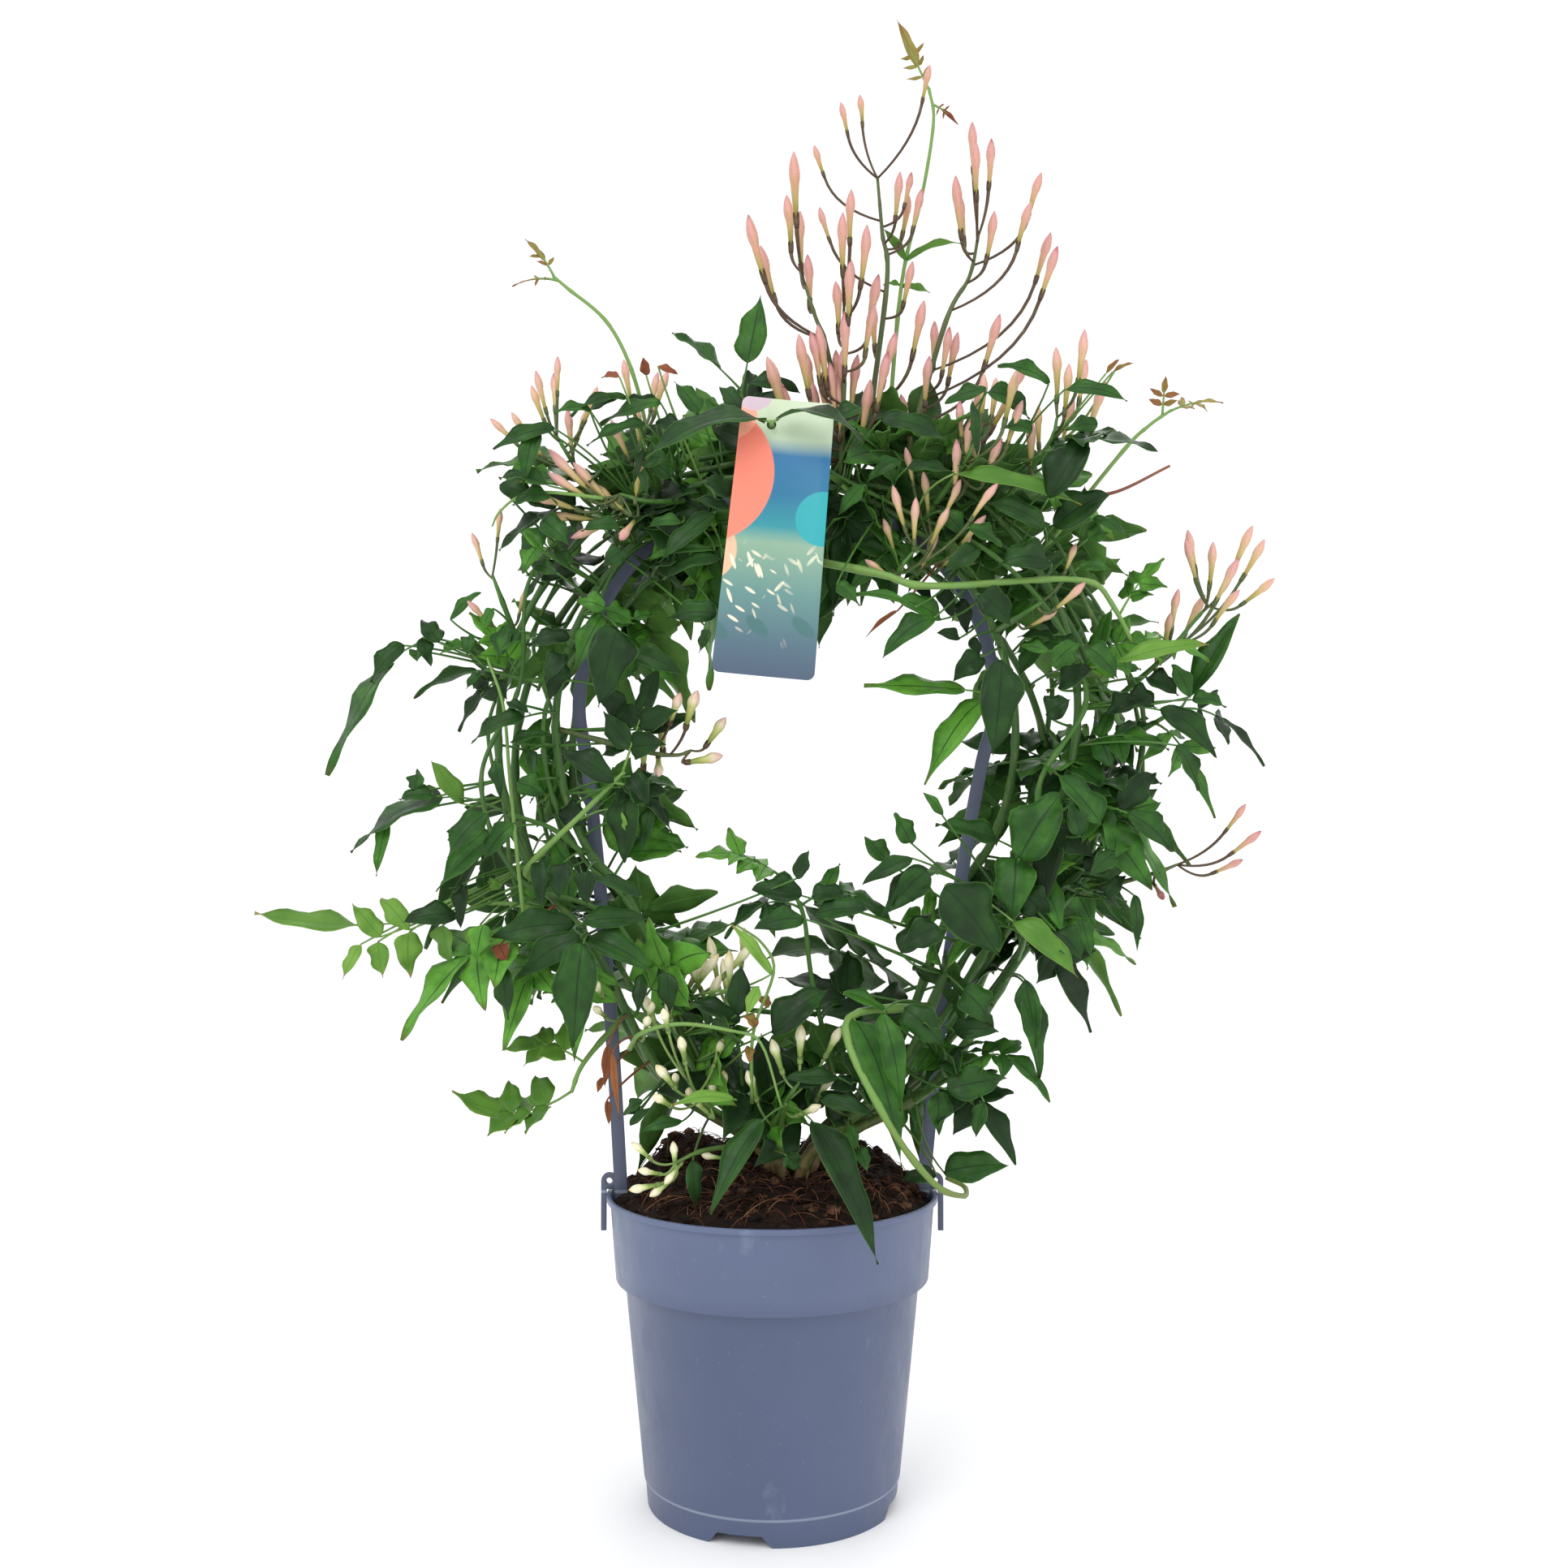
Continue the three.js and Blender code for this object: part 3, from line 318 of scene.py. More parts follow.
def bud_finish(name, stops):
    """Colours from root to tip along a bud, with its spiral of rolled petals."""
    finish = Finish(name, 0.42, Specular_IOR_Level=0.4, Subsurface_Weight=0.06)
    around, along, tone = finish.growth()
    drift = finish.fade(tone, 0, 1, -0.17, 0.05)
    cloud = finish.grain(160, 3)
    astray = finish.math("ADD", drift, finish.spread(cloud, -0.05, 0.05))
    at = finish.math("ADD", along, astray)
    base = finish.ramp(at, stops)
    turn = finish.math("MULTIPLY_ADD", along, 1.3, finish.math("MULTIPLY", around, 5.0))
    seam = finish.fade(finish.math("PINGPONG", turn, 0.5), 0.0, 0.09, 1, 0)
    upper = finish.math("MULTIPLY", seam, finish.fade(along, 0.4, 0.6))
    finish.colour(finish.blend(finish.math("MULTIPLY", upper, 0.35), base, srgb("b8606a")))
    finish.bump(finish.math("ADD", finish.math("MULTIPLY", upper, -1.0), cloud), 0.3, 0.0003)
    return finish.material


PINK_BUD = bud_finish(
    "bud_pink",
    [
        (0.0, "6f6a2c"), (0.1, "8c8438"), (0.22, "a89458"), (0.4, "bf9672"), (0.58, "cc9a89"),
        (0.88, "c78f8e"), (1.0, "a0525a"),
    ],
)
WARM_BUD = bud_finish(
    "bud_warm",
    [
        (0.0, "7a7c34"), (0.14, "98914a"), (0.34, "b8a468"), (0.54, "d2ae8a"), (0.74, "d6a698"),
        (0.92, "cd9494"), (1.0, "ae666c"),
    ],
)
BLUSH_BUD = bud_finish(
    "bud_blush",
    [
        (0.0, "6f7f35"), (0.3, "9aa652"), (0.5, "bfc07c"), (0.64, "dccbb0"), (0.82, "deb8a8"),
        (1.0, "d39a90"),
    ],
)
CREAM_BUD = bud_finish(
    "bud_cream",
    [
        (0.0, "66833c"), (0.34, "7f9a4c"), (0.5, "c4cf8c"), (0.64, "ece8c4"), (0.88, "efe4c0"),
        (1.0, "cdb978"),
    ],
)
CALYX = stem_finish("calyx_purple", "4e4228", "4a3a26", "4e3a28", 0.5)
GREEN_CALYX = stem_finish("calyx_green", "6f8a48", "6f8a48", "7a9550", 0.5)
print("materials with stems and buds:", len(bpy.data.materials))

# %% [markdown]
# ## Plastic, peat and card
#
# The plastic is satin with a soft mottle and light scuffs. Peat is nearly black with brown
# flecks and pale fibres. The label's print is a few soft bands of colour over a dusky foot,
# laid out with Object coordinates turned to the card's tilt.

# %% Plastic and peat
def plastic_finish(name, dark, light, worn, seam_highlight_height):
    """Satin plastic with a mottle, scuffs, painted light higher up, and one pale seam round it at a height,
    painted as a highlight.
    """
    finish = Finish(name, 0.42, Specular_IOR_Level=0.5)
    mottle = finish.grain(14, 5)
    scuff = finish.grain(60, 6, finish.place((1, 1, 0.5)), 0.7)
    height = finish.height()
    # painted light: the plastic turns lighter above 90 mm, as if lit from above
    above = finish.fade(height, 0.09, 0.1, 0, 0.55)
    shade = finish.math("ADD", finish.spread(mottle, 0, 0.4), above)
    base = finish.ramp(shade, [(0.0, dark), (1.0, light)])
    rubbed = finish.math("MULTIPLY", finish.fade(scuff, 0.62, 0.78), 0.4)
    specks = finish.fade(finish.grain(700, 2, rough=0.8), 0.7, 0.74, 0, 0.5)
    colour = finish.blend(finish.math("MAXIMUM", rubbed, specks), base, srgb(worn))
    # painted highlight: a pale seam line round the plastic at one height, lightened as if it caught the
    # light
    near_seam_highlight = finish.math("ABSOLUTE", finish.math("SUBTRACT", height, seam_highlight_height))
    seam = finish.fade(near_seam_highlight, 0.0003, 0.0009, 0.55, 0)
    finish.colour(finish.blend(seam, colour, srgb("a3aec0")))
    finish.rough(finish.fade(scuff, 0.4, 0.75, 0.36, 0.58))
    finish.bump(finish.grain(420, 3), 0.12, 0.0003)
    return finish.material


PLASTIC = plastic_finish("plastic_satin", "485370", "5a6685", "8490a8", 0.011)
HOOP_PLASTIC = plastic_finish("hoop_satin", "474d60", "525a70", "79829a", 0.128)

peat = Finish("peat_dark", 0.95, Specular_IOR_Level=0.2)
clods = peat.grain(260, 6, rough=0.75)
peat.colour(peat.ramp(clods, [(0.3, "100a08"), (0.5, "1e130e"), (0.62, "2f1f17"), (0.75, "4a3226")]))
peat.bump(clods, 0.9, 0.0016)
PEAT = peat.material


def loose_finish(name, roughness, specular, grain, stops, bump):
    """Crumbs or fibres: each has a tone of its own, which a grain spreads a little."""
    finish = Finish(name, roughness, Specular_IOR_Level=specular)
    speck = finish.grain(*grain)
    mixed = finish.math("ADD", finish.growth()[2], finish.spread(speck, -0.2, 0.2))
    finish.colour(finish.ramp(mixed, stops))
    finish.bump(speck, *bump)
    return finish.material


CRUMB = loose_finish(
    "peat_crumb", 0.92, 0.2, (500, 4),
    [(0.0, "130c09"), (0.5, "251811"), (0.8, "3c271c"), (1.0, "664a36")], (0.8, 0.0008),
)
FIBRE = loose_finish(
    "peat_fibre", 0.85, 0.25, (300, 3),
    [(0.0, "351c13"), (0.5, "613a27"), (1.0, "9a6e50")], (0.5, 0.0003),
)
print("materials with plastic and peat:", len(bpy.data.materials))

# %% The label's print
HOOK, TILT = (0, -51.5, 443), 5.4  # the place of its eye, and its lean to the side in degrees
LABEL_TOP, LABEL_FOOT = 10.5, -100.5  # measured from the eye

card = Finish("label_card", 0.34, Specular_IOR_Level=0.5)
upright = Matrix.Rotation(radians(-TILT), 3, "Y")
move = -(upright @ Vector((HOOK[0] * MM, 0, HOOK[2] * MM)))
local = card.place((1, 0, 1), move, (0, radians(-TILT), 0))  # from the eye, x right, z up
height = card.height(local)


def disc(x, z, radius):
    """1 inside a printed disc and 0 outside, with a crisp rim. Lengths are in millimetres."""
    centre = {0: local, 1: (x * MM, 0, z * MM)}
    far = card.node("ShaderNodeVectorMath", centre, operation="DISTANCE").outputs["Value"]
    return card.fade(far, (radius - 0.25) * MM, (radius + 0.25) * MM, 1, 0)


def petals(turn, size, reach):
    """Scattered slim drops, turned by some degrees. size: their cells in millimetres."""
    leaning = card.node("ShaderNodeMapping", {"Vector": local, "Rotation": (0, radians(turn), 0)})
    cells = {0: leaning.outputs["Vector"], 1: (1000 / size[0], 1, 1000 / size[1])}
    slim = card.node("ShaderNodeVectorMath", cells, operation="MULTIPLY").outputs["Vector"]
    far = card.node("ShaderNodeTexVoronoi", {"Vector": slim, "Scale": 1}).outputs["Distance"]
    return card.fade(far, reach, reach + 0.05, 1, 0)


print_colour = card.ramp(
    card.fade(height, LABEL_FOOT * MM, LABEL_TOP * MM),
    [
        (0.0, "46566c"), (0.12, "4c6878"), (0.3, "5f8a86"), (0.48, "86a890"), (0.54, "2b8c96"),
        (0.66, "1f6d93"), (0.8, "2a6f9c"), (0.86, "b9cdb0"), (1.0, "c3d2b4"),
    ],
)
for code, round_patch in (
    ("e9b796", disc(-22, -52, 13)), ("f0826c", disc(-26, -21, 29)), ("26a0a8", disc(24, -36, 11)),
    ("f6a48a", disc(-16, 3, 10)), ("c9b4c0", disc(-8, 13, 8)), ("49b9dd", disc(-21, 9, 8)),
):
    print_colour = card.blend(round_patch, print_colour, srgb(code))
garden = card.fade(height, -0.052, -0.046, 1, 0)
leaf_shapes = card.math("MULTIPLY", petals(52, (11, 24), 0.26), garden)
print_colour = card.blend(card.math("MULTIPLY", leaf_shapes, 0.75), print_colour, srgb("3c6a68"))
clusters = card.fade(card.grain(26, 1, local), 0.44, 0.52)
for turn, cells in ((24, (3.4, 15)), (-38, (3.4, 13)), (62, (3.2, 12))):
    drops = card.math("MULTIPLY", petals(turn, cells, 0.19), card.math("MULTIPLY", garden, clusters))
    print_colour = card.blend(card.math("MULTIPLY", drops, 0.85), print_colour, srgb("efe6cc"))
card.colour(print_colour)
card.rough(card.spread(card.grain(90, 3), 0.3, 0.42))
card.bump(card.grain(600, 2), 0.06, 0.0002)
CARD = card.material
print("materials with the label's:", len(bpy.data.materials))

# %% [markdown]
# ## Growing with bmesh
#
# A plant has thousands of parts, so each shape starts once from a bmesh operator: a grid for a
# leaflet, a closed straw for a stem, a spun outline for a bud. The straw and the grid are then
# bent along their curves as arrays of points, which is fast, and appended to the piece.
# `Growth` gathers one finished piece: its meshes, its material faces and its growth attribute.

# %% Shapes that are bent along curves
def read(bm):
    """The points and faces of a bmesh, which is then freed."""
    bm.verts.index_update()
    points = np.array([vert.co for vert in bm.verts])
    faces = [[vert.index for vert in face.verts] for face in bm.faces]
    bm.free()
    return points, faces


def slice_across(bm, axis, places):
    """Cuts a ring of new corners at each place, square to an axis: 0 for x, 2 for z."""
    square = Vector((0, 0, 0))
    square[axis] = 1
    for place in places:
        bmesh.ops.bisect_plane(
            bm, geom=bm.verts[:] + bm.edges[:] + bm.faces[:],
            plane_co=square * place, plane_no=square,
        )


@cache
def straw(sides, rings):
    """A closed tube of radius 1 from z 0 to 1, with rings of corners along it."""
    bm = bmesh.new()
    bmesh.ops.create_cone(bm, cap_ends=True, segments=sides, radius1=1, radius2=1, depth=1)
    bmesh.ops.translate(bm, verts=bm.verts, vec=(0, 0, 0.5))
    slice_across(bm, 2, [ring / rings for ring in range(1, rings)])
    bmesh.ops.recalc_face_normals(bm, faces=bm.faces)
    return read(bm)


# %% A piece while it grows
class Growth:
    """A piece while it grows: points in millimetres, faces, their materials and growth."""

    def __init__(self, name, materials):
        self.name, self.materials = name, materials
        self.points, self.growth, self.faces, self.kinds = [], [], [], []
        self.count = 0

    def add(self, points, faces, growth=None, kinds=0):
        first = self.count
        growth = np.zeros((len(points), 3)) if growth is None else growth
        self.points.append(points)
        self.growth.append(growth)
        self.faces += [[first + corner for corner in face] for face in faces]
        self.kinds += kinds if isinstance(kinds, list) else [kinds] * len(faces)
        self.count += len(points)

    def stem(self, curve, radius, sides=8, rings=24, kind=0, tone=0.5, knots=0.0):
        """A tube along a curve. radius: a pair, from start to end. knots: swelling at nodes."""
        points, faces = straw(sides, rings)
        t = points[:, 2]
        centre, along = curve.at(t), curve.tangent(t)
        across = carried(curve, t, rings)
        other = np.cross(across, along)
        size = mix(radius[0], radius[1], t) * (1 + knots * bulges(t, curve.length()))
        place = centre + (across * points[:, :1] + other * points[:, 1:2]) * size[:, None]
        around = (np.arctan2(points[:, 1], points[:, 0]) / (2 * pi)) % 1
        growth = np.stack([around, t, np.full(len(t), tone)], 1)
        self.add(place, faces, growth, kind)

    def piece(self, slot, *nodes):
        """The finished object, riding on the root and standing for its CAD nodes."""
        mesh = bpy.data.meshes.new(self.name)
        mesh.from_pydata((np.vstack(self.points) * MM).tolist(), [], self.faces)
        for material in self.materials:
            mesh.materials.append(material)
        mesh.polygons.foreach_set("material_index", self.kinds)
        mesh.polygons.foreach_set("use_smooth", [True] * len(self.faces))
        layer = mesh.attributes.new("growth", "FLOAT_VECTOR", "POINT")
        layer.data.foreach_set("vector", np.vstack(self.growth).astype(np.float32).ravel())
        piece = bpy.data.objects.new(self.name, mesh)
        bpy.context.collection.objects.link(piece)
        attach(piece, "root")
        if nodes:
            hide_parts(*nodes)
        return piece


def carried(curve, t, rings):
    """A direction across the curve for each t, turned as little as possible from the start."""
    steps = curve.tangent(np.linspace(0, 1, rings + 1))
    across, kept = vec(0.31, 0.87, 0.38), []
    for along in steps:
        across = unit(across - along * (across @ along))
        kept.append(across)
    return np.array(kept)[np.rint(t * rings).astype(int)]


def bulges(t, length, every=21.0):
    """The swelling of a stem's joints, one each `every` millimetres."""
    near = np.abs((t * length / every) % 1 - 0.5) * every
    return np.exp(-((near / 2.2) ** 2))


# %% [markdown]
# ## One leaf
#
# A jasmine leaf is pinnate: two to four pairs of side leaflets on a thin stalk, and a larger
# pointed leaflet at its end. Flat cards would look like paper, so each leaflet is a grid that
# is folded along its midrib, droops to its tip, waves at its margin and has a real thickness.
# The whole leaf is shaped flat, and then bent along its stalk from root to tip.

# %% Leaflets
BLADE = 0.3  # mm, the thickness of a leaflet
OVATE, LONG = (0.72, 1.3), (0.85, 1.25)  # how fast a blade widens and narrows again


def leaflet_template(columns, rows):
    """A grid with thickness. Returns points in -1 to 1, faces and a material for each face."""
    bm = bmesh.new()
    bmesh.ops.create_grid(bm, x_segments=columns, y_segments=rows, size=1)
    made = bmesh.ops.solidify(bm, geom=bm.faces[:], thickness=BLADE)
    below = {face for face in made["geom"] if isinstance(face, bmesh.types.BMFace)}
    kinds = [int(face in below) for face in bm.faces]
    return *read(bm), kinds


LEAFLET = {False: leaflet_template(4, 9), True: leaflet_template(4, 14)}  # plain and fine


def blade_width(v, rise, fall):
    """The blade's width at a share v of its length, 1 where it is widest."""
    widest = rise / (rise + fall)
    return (v / widest) ** rise * ((1 - v) / (1 - widest)) ** fall


def leaflet(length, width, fold, droop, wave, twist, seed, fine=False):
    """A leaflet that points along +y: points, growth, faces and kinds."""
    points, faces, kinds = LEAFLET[fine]
    v = (points[:, 1] + 1) / 2
    v = np.clip(v - 0.08 * np.sin(2 * pi * v), 0, 1)  # the rows crowd towards both ends
    ends = mix(0.045, 0.008, v)  # neither end closes to nothing
    half = (ends + blade_width(v, *(OVATE if width > 0.45 * length else LONG))) * width / 2
    side = np.abs(points[:, 0])
    lobe = np.sin(v * 13 + seed * 6 + 1.5 * np.sign(points[:, 0])) * side**2
    u = points[:, 0] * half * (1 + 0.1 * lobe)
    sway = 0.07 * length * np.sin(v * 2.6 + seed) * (noise(seed, 13, 0) - 0.5) * v
    curl = droop * length * v**2.2
    lift = np.abs(u) * fold - curl + lobe * wave * width
    turn = twist * v
    x = u * np.cos(turn) - lift * np.sin(turn) * 0.6 + sway
    z = lift + u * np.sin(turn) + points[:, 2]
    place = np.stack([x, v * length, z], 1)
    growth = np.stack([points[:, 0], v, np.zeros(len(v))], 1)
    return place, growth, faces, kinds


# %% A whole leaf, laid flat and then bent along its stalk
def leaf_parts(length, pairs, seed, slim=1.0, start=0.3, fronds=1.0):
    """Yields each leaflet in the leaf's own frame: x across, y along the stalk, z up."""
    short = (0.37, 0.31, 0.25)[max(0, pairs - 2)] * length * fronds
    first, last = 0.24 - 0.04 * (pairs - 2), 0.44 + 0.05 * (pairs - 2)
    for i in range(pairs):
        y = mix(first, last, i / (pairs - 1)) * length
        for side in (-1, 1):
            k = seed + 3.1 * i + side
            size = short * (0.88 + 0.3 * noise(k, 1, 0))
            shape = leaflet(
                size, size * slim * (0.52 + 0.16 * noise(k, 2, 0)), 0.05 + 0.3 * noise(k, 3, 0),
                0.02 + 0.24 * noise(k, 4, 0), 0.08, (noise(k, 5, 0) - 0.5) * 0.9, k,
            )
            angle = side * radians(58 + 16 * noise(k, 6, 0))
            rise = radians(-16 + 44 * noise(k, 7, 0))
            yield turned(shape, angle, rise, vec(side * 0.3, y, 0.0))
    start = (last + 0.06 if pairs and fronds == 1 else start) * length
    size = length - start
    wide = slim * (0.4 + 0.14 * noise(seed, 8, 0)) * size
    shape = leaflet(
        size, wide, 0.05 + 0.3 * noise(seed, 9, 0), 0.0, 0.07,
        (noise(seed, 10, 0) - 0.5) * 0.6, seed, fine=True,
    )
    yield turned(shape, 0.0, 0.0, vec(0, start, 0))


def turned(shape, angle, rise, foot):
    """A leaflet turned away from the stalk by an angle, lifted by another, and moved."""
    place, growth, faces, kinds = shape
    x, y, z = place.T
    y, z = y * cos(rise) - z * sin(rise), y * sin(rise) + z * cos(rise)
    x, y = x * cos(angle) + y * sin(angle), -x * sin(angle) + y * cos(angle)
    return np.stack([x, y, z], 1) + foot, growth, faces, kinds


def bend(place, curve, length, facing):
    """Flat leaf points laid along the stalk's curve. Returns points."""
    t = place[:, 1] / length
    inside = np.clip(t, 0, 1)
    along = curve.tangent(inside)
    across = unit(np.cross(curve.end - curve.start, facing))
    normal = unit(np.cross(across, along))
    beyond = (t - inside)[:, None] * length * along
    return curve.at(inside) + beyond + across * place[:, :1] + normal * place[:, 2:]


def leaf_in_place(base, tip, arch, facing, pairs, seed, tone=None, **form):
    """A leaf from base to tip. Returns its curve, its leaflets and how far its stalk shows."""
    curve = Bow(base, (base + tip) / 2 + UP * 2 * arch, tip)
    length = curve.length()
    shade = noise(seed, 11, 0) if tone is None else tone
    leaflets = []
    for place, own, faces, sides in leaf_parts(length, pairs, seed, **form):
        own = own.copy()
        own[:, 2] = np.clip(shade + (noise(seed, place[0, 1], 12) - 0.5) * 0.25, 0, 1)
        leaflets.append((bend(place, curve, length, facing), faces, own, sides))
    return curve, leaflets, 0.6 if pairs else form.get("start", 0.3) + 0.03


def add_leaf(growth, leaf, kinds=(0, 1, 2)):
    """Adds a leaf to a piece. kinds: the materials of its upper side, underside and stalk."""
    curve, leaflets, reach = leaf
    for place, faces, own, sides in leaflets:
        growth.add(place, faces, own, [kinds[s] for s in sides])
    half, most = curve.at((reach / 2, reach))
    stalk = Bow(curve.start, half * 2 - (curve.start + most) / 2, most)
    growth.stem(stalk, (0.62, 0.34), sides=5, rings=6, kind=kinds[2])


# %% [markdown]
# ## One bud
#
# A closed jasmine bud is a long thin tube that swells into a pointed, slightly twisted spindle
# of rolled petals, with a small dark cup of five teeth at its foot. It is a spun outline, so
# one outline gives every bud. The five petal ribs are pressed into the round shape afterwards.

# %% A bud, spun once
BUD_OUTLINE = [
    (0.0, 0.0), (0.5, 0.0), (0.75, 0.05), (0.9, 0.2), (1.15, 0.38), (1.35, 0.5), (1.45, 0.56),
    (1.85, 0.64), (1.95, 0.72), (1.7, 0.81), (1.15, 0.9), (0.45, 0.97), (0.0, 1.0),
]  # radius in mm and share of the length
CUP_OUTLINE = [
    (0.0, -0.02), (0.85, -0.01), (1.05, 0.04), (1.12, 0.12), (0.9, 0.12), (0.8, 0.06), (0.0, 0.05)
]


def spun(outline, sides):
    """An outline of radius and height turned into a closed solid. Returns points and faces."""
    bm = bmesh.new()
    corners = [bm.verts.new((radius, 0, height)) for radius, height in outline]
    edges = [bm.edges.new(pair) for pair in zip(corners, corners[1:])]
    bmesh.ops.spin(
        bm, geom=corners + edges, axis=(0, 0, 1), cent=(0, 0, 0), angle=2 * pi,
        steps=sides, use_merge=True,
    )
    bmesh.ops.remove_doubles(bm, verts=bm.verts, dist=1e-6)
    bmesh.ops.recalc_face_normals(bm, faces=bm.faces)
    return read(bm)


BUD_SIDES = 10  # two for each of the five petals
BUD, CUP = spun(BUD_OUTLINE, BUD_SIDES), spun(CUP_OUTLINE, BUD_SIDES)
BUD_LENGTH = 26.0


def grow_bud(growth, root, tip, lean, size, plump, seed):
    """A bud at tip on a stalk from root, as the CAD gives it."""
    base = tip - lean * BUD_LENGTH * size
    elbow = base - lean * 0.45 * np.linalg.norm(root - base)
    across = unit(np.cross(lean, vec(0.3, 0.9, 0.31)))
    other = np.cross(lean, across)
    bow = Bow(base, (base + tip) / 2 + across * size * 2.2 * (noise(seed, 1, 0) - 0.5), tip)
    tone = noise(seed, 2, 0)
    for (points, faces), kind in ((BUD, 0), (CUP, 1)):
        angle = np.arctan2(points[:, 1], points[:, 0]) + points[:, 2] * 1.1 + seed
        radius = np.hypot(points[:, 0], points[:, 1]) * size * plump
        if kind == 0:
            radius = radius * (1 + 0.06 * np.cos(5 * angle) * (points[:, 2] > 0.3))
        else:
            teeth = (points[:, 2] > 0.1) * (0.07 * np.cos(5 * angle) + 0.02)
            points = points + teeth[:, None] * UP
        t = np.clip(points[:, 2], 0, 1)
        under = np.minimum(points[:, 2], 0)[:, None] * BUD_LENGTH * size * lean
        out = across * np.cos(angle)[:, None] + other * np.sin(angle)[:, None]
        place = bow.at(t) + under + out * radius[:, None]
        own = np.stack([(angle / (2 * pi)) % 1, t, np.full(len(t), tone)], 1)
        growth.add(place, faces, own, kind)
    growth.stem(Bow(root, elbow, base), (0.48, 0.34 + 0.55 * size), sides=6, rings=8, kind=1)


print("a leaf has about", 7 * len(LEAFLET[False][1]), "faces and a bud", len(BUD[1]))

# %% [markdown]
# ## Finding what the frame grew
#
# The frame's stems start on the vine that was nearest and free, and a leaf or bud that met
# another was moved aside. The same short lists of places are tried here in the same order, and
# the place where the frame has corners is the one that was kept. So each fine leaf lies
# exactly where its plain solid is.

# %% The frame's corners, in millimetres
CORNERS = {}
for name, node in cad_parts.items():
    co = np.zeros(len(node.data.vertices) * 3, np.float32)
    node.data.vertices.foreach_get("co", co)
    CORNERS[name] = co.reshape(-1, 3).astype(float) / MM
print("corners read:", sum(len(corners) for corners in CORNERS.values()))


def nearest(name, point):
    """The distance from a point to the nearest corner of a node."""
    return np.linalg.norm(CORNERS[name] - point, axis=1).min()


# %% [markdown]
# ## Vines
#
# Eight vines leave the crown in the peat, four up each side, and twine round the hoop. Each
# is one long smooth curve: root, base, shoulder, and then a slow spiral round the wreath. They
# are woody and brown at the foot and green above, and swell where each pair of leaves sits.

# %% The vines' curves
WREATH = {"x": 11, "z": 310, "radius": 112, "rise": 7}
CROWN = {"x": 8, "y": -3, "z": 137, "radius": 9, "root": 18, "neck": 14}
TWINE = {-1: (222, 153, 65, 0.5), 1: (-42, 27, 30, 0.9)}  # start, still, phase, turns
VINE_ENDS = {-1: (62, 84, 70, 96), 1: (118, 98, 126, 108)}
RING_STEP = 20  # degrees between two points of a vine
VINE_RADIUS, BARK_RADIUS = (2.3, 1.1), (2.35, 1.1)  # at foot and end, in the frame and here
SPOT_STEPS, FIRST_SPOT = 60, 6  # side stems may start at these steps along a vine


def ring_point(angle, outwards, depth):
    """A point beside the wreath's ring, at an angle in degrees from its right side."""
    a = radians(angle)
    r = WREATH["radius"] + WREATH["rise"] * sin(a) + outwards
    return vec(WREATH["x"] + r * cos(a), depth, WREATH["z"] + r * sin(a))


def rounded(x):
    """Rounds half up, as the frame does."""
    return floor(x + 0.5)


def vine_curve(side, index, end):
    """The curve of one of four vines to a side, which ends at an angle on the ring."""
    start, still, still_phase, turns = TWINE[side]

    def phase_at(angle):
        return still_phase + 90 * index + turns * (still - angle) * -side

    count = rounded(abs(end - start) / RING_STEP)
    points = []
    for i in range(count + 1):
        angle = mix(start, end, i / count)
        spread = 20 if side > 0 else 13 + 5 * max(0, -cos(radians(angle)))
        phase = radians(phase_at(angle))
        points.append(ring_point(angle, spread * cos(phase), (spread - 1) * sin(phase)))
    quarter = 45 + 90 * rounded((phase_at(start) - 45) / 90)
    turn = (quarter + 540) % 360 - 180
    around = radians(turn / 2 if side > 0 else 180 - turn / 2)
    base = vec(CROWN["x"], CROWN["y"], CROWN["z"])
    base = base + CROWN["radius"] * vec(cos(around), sin(around), 0)
    root = base - CROWN["root"] * UP
    shares, first = vec(0.6, 0.5, 0.42), points[0]
    shoulder = base + (first - base) * shares
    neck = base + (shoulder - base) * vec(0.2, 0.2, 0)
    neck[2] = base[2] + CROWN["neck"]
    return Through([root, base, neck, shoulder] + points)


VINES = {}
for side, word in ((-1, "left"), (1, "right")):
    for index, end in enumerate(VINE_ENDS[side]):
        VINES[f"vine_{word}_{index + 1}"] = vine_curve(side, index, end)

SPOTS = []  # places a stem may start: point, direction and radius of a vine
for curve in VINES.values():
    for i in range(FIRST_SPOT, SPOT_STEPS):
        t = i / SPOT_STEPS
        SPOTS.append((curve.at(t)[0], curve.tangent(t)[0], mix(*VINE_RADIUS, t)))
SPOT_POINTS = np.array([spot[0] for spot in SPOTS])


def nearest_spot(point):
    """The place on a vine that is nearest to a point."""
    return SPOT_POINTS[np.argmin(np.linalg.norm(SPOT_POINTS - point, axis=1))]


for name, curve in VINES.items():
    off = max(nearest(name, p) for p in curve.at(np.linspace(0, 1, 30)))
    print(name, "is", round(curve.length()), "mm long, and", round(off, 1), "mm off at most")


# %% Grow the vines
for name, curve in VINES.items():
    growth = Growth("bark_" + name, [VINE])
    growth.stem(curve, BARK_RADIUS, sides=12, rings=150, knots=0.28)
    growth.piece("vines", name)
print("grew", len(VINES), "vines")

# %% [markdown]
# ## Where a side stem starts
#
# A side stem starts a hair off its vine. The frame tried the nearest places on the vines in
# turn, and the same search finds the start again: the frame's first ring of corners stands
# round it at just the stem's radius.

# %% Side stems
GAP = 0.35
STEM_TRIES = (0, -3, 3, -6, 6, -10, 10, -14)
SEAT_TRIES = (-0.8, -0.5, -0.25, 0)
SPOTS_TRIED = 12
START_SLACK = 0.02  # mm that a start may be off before it is printed


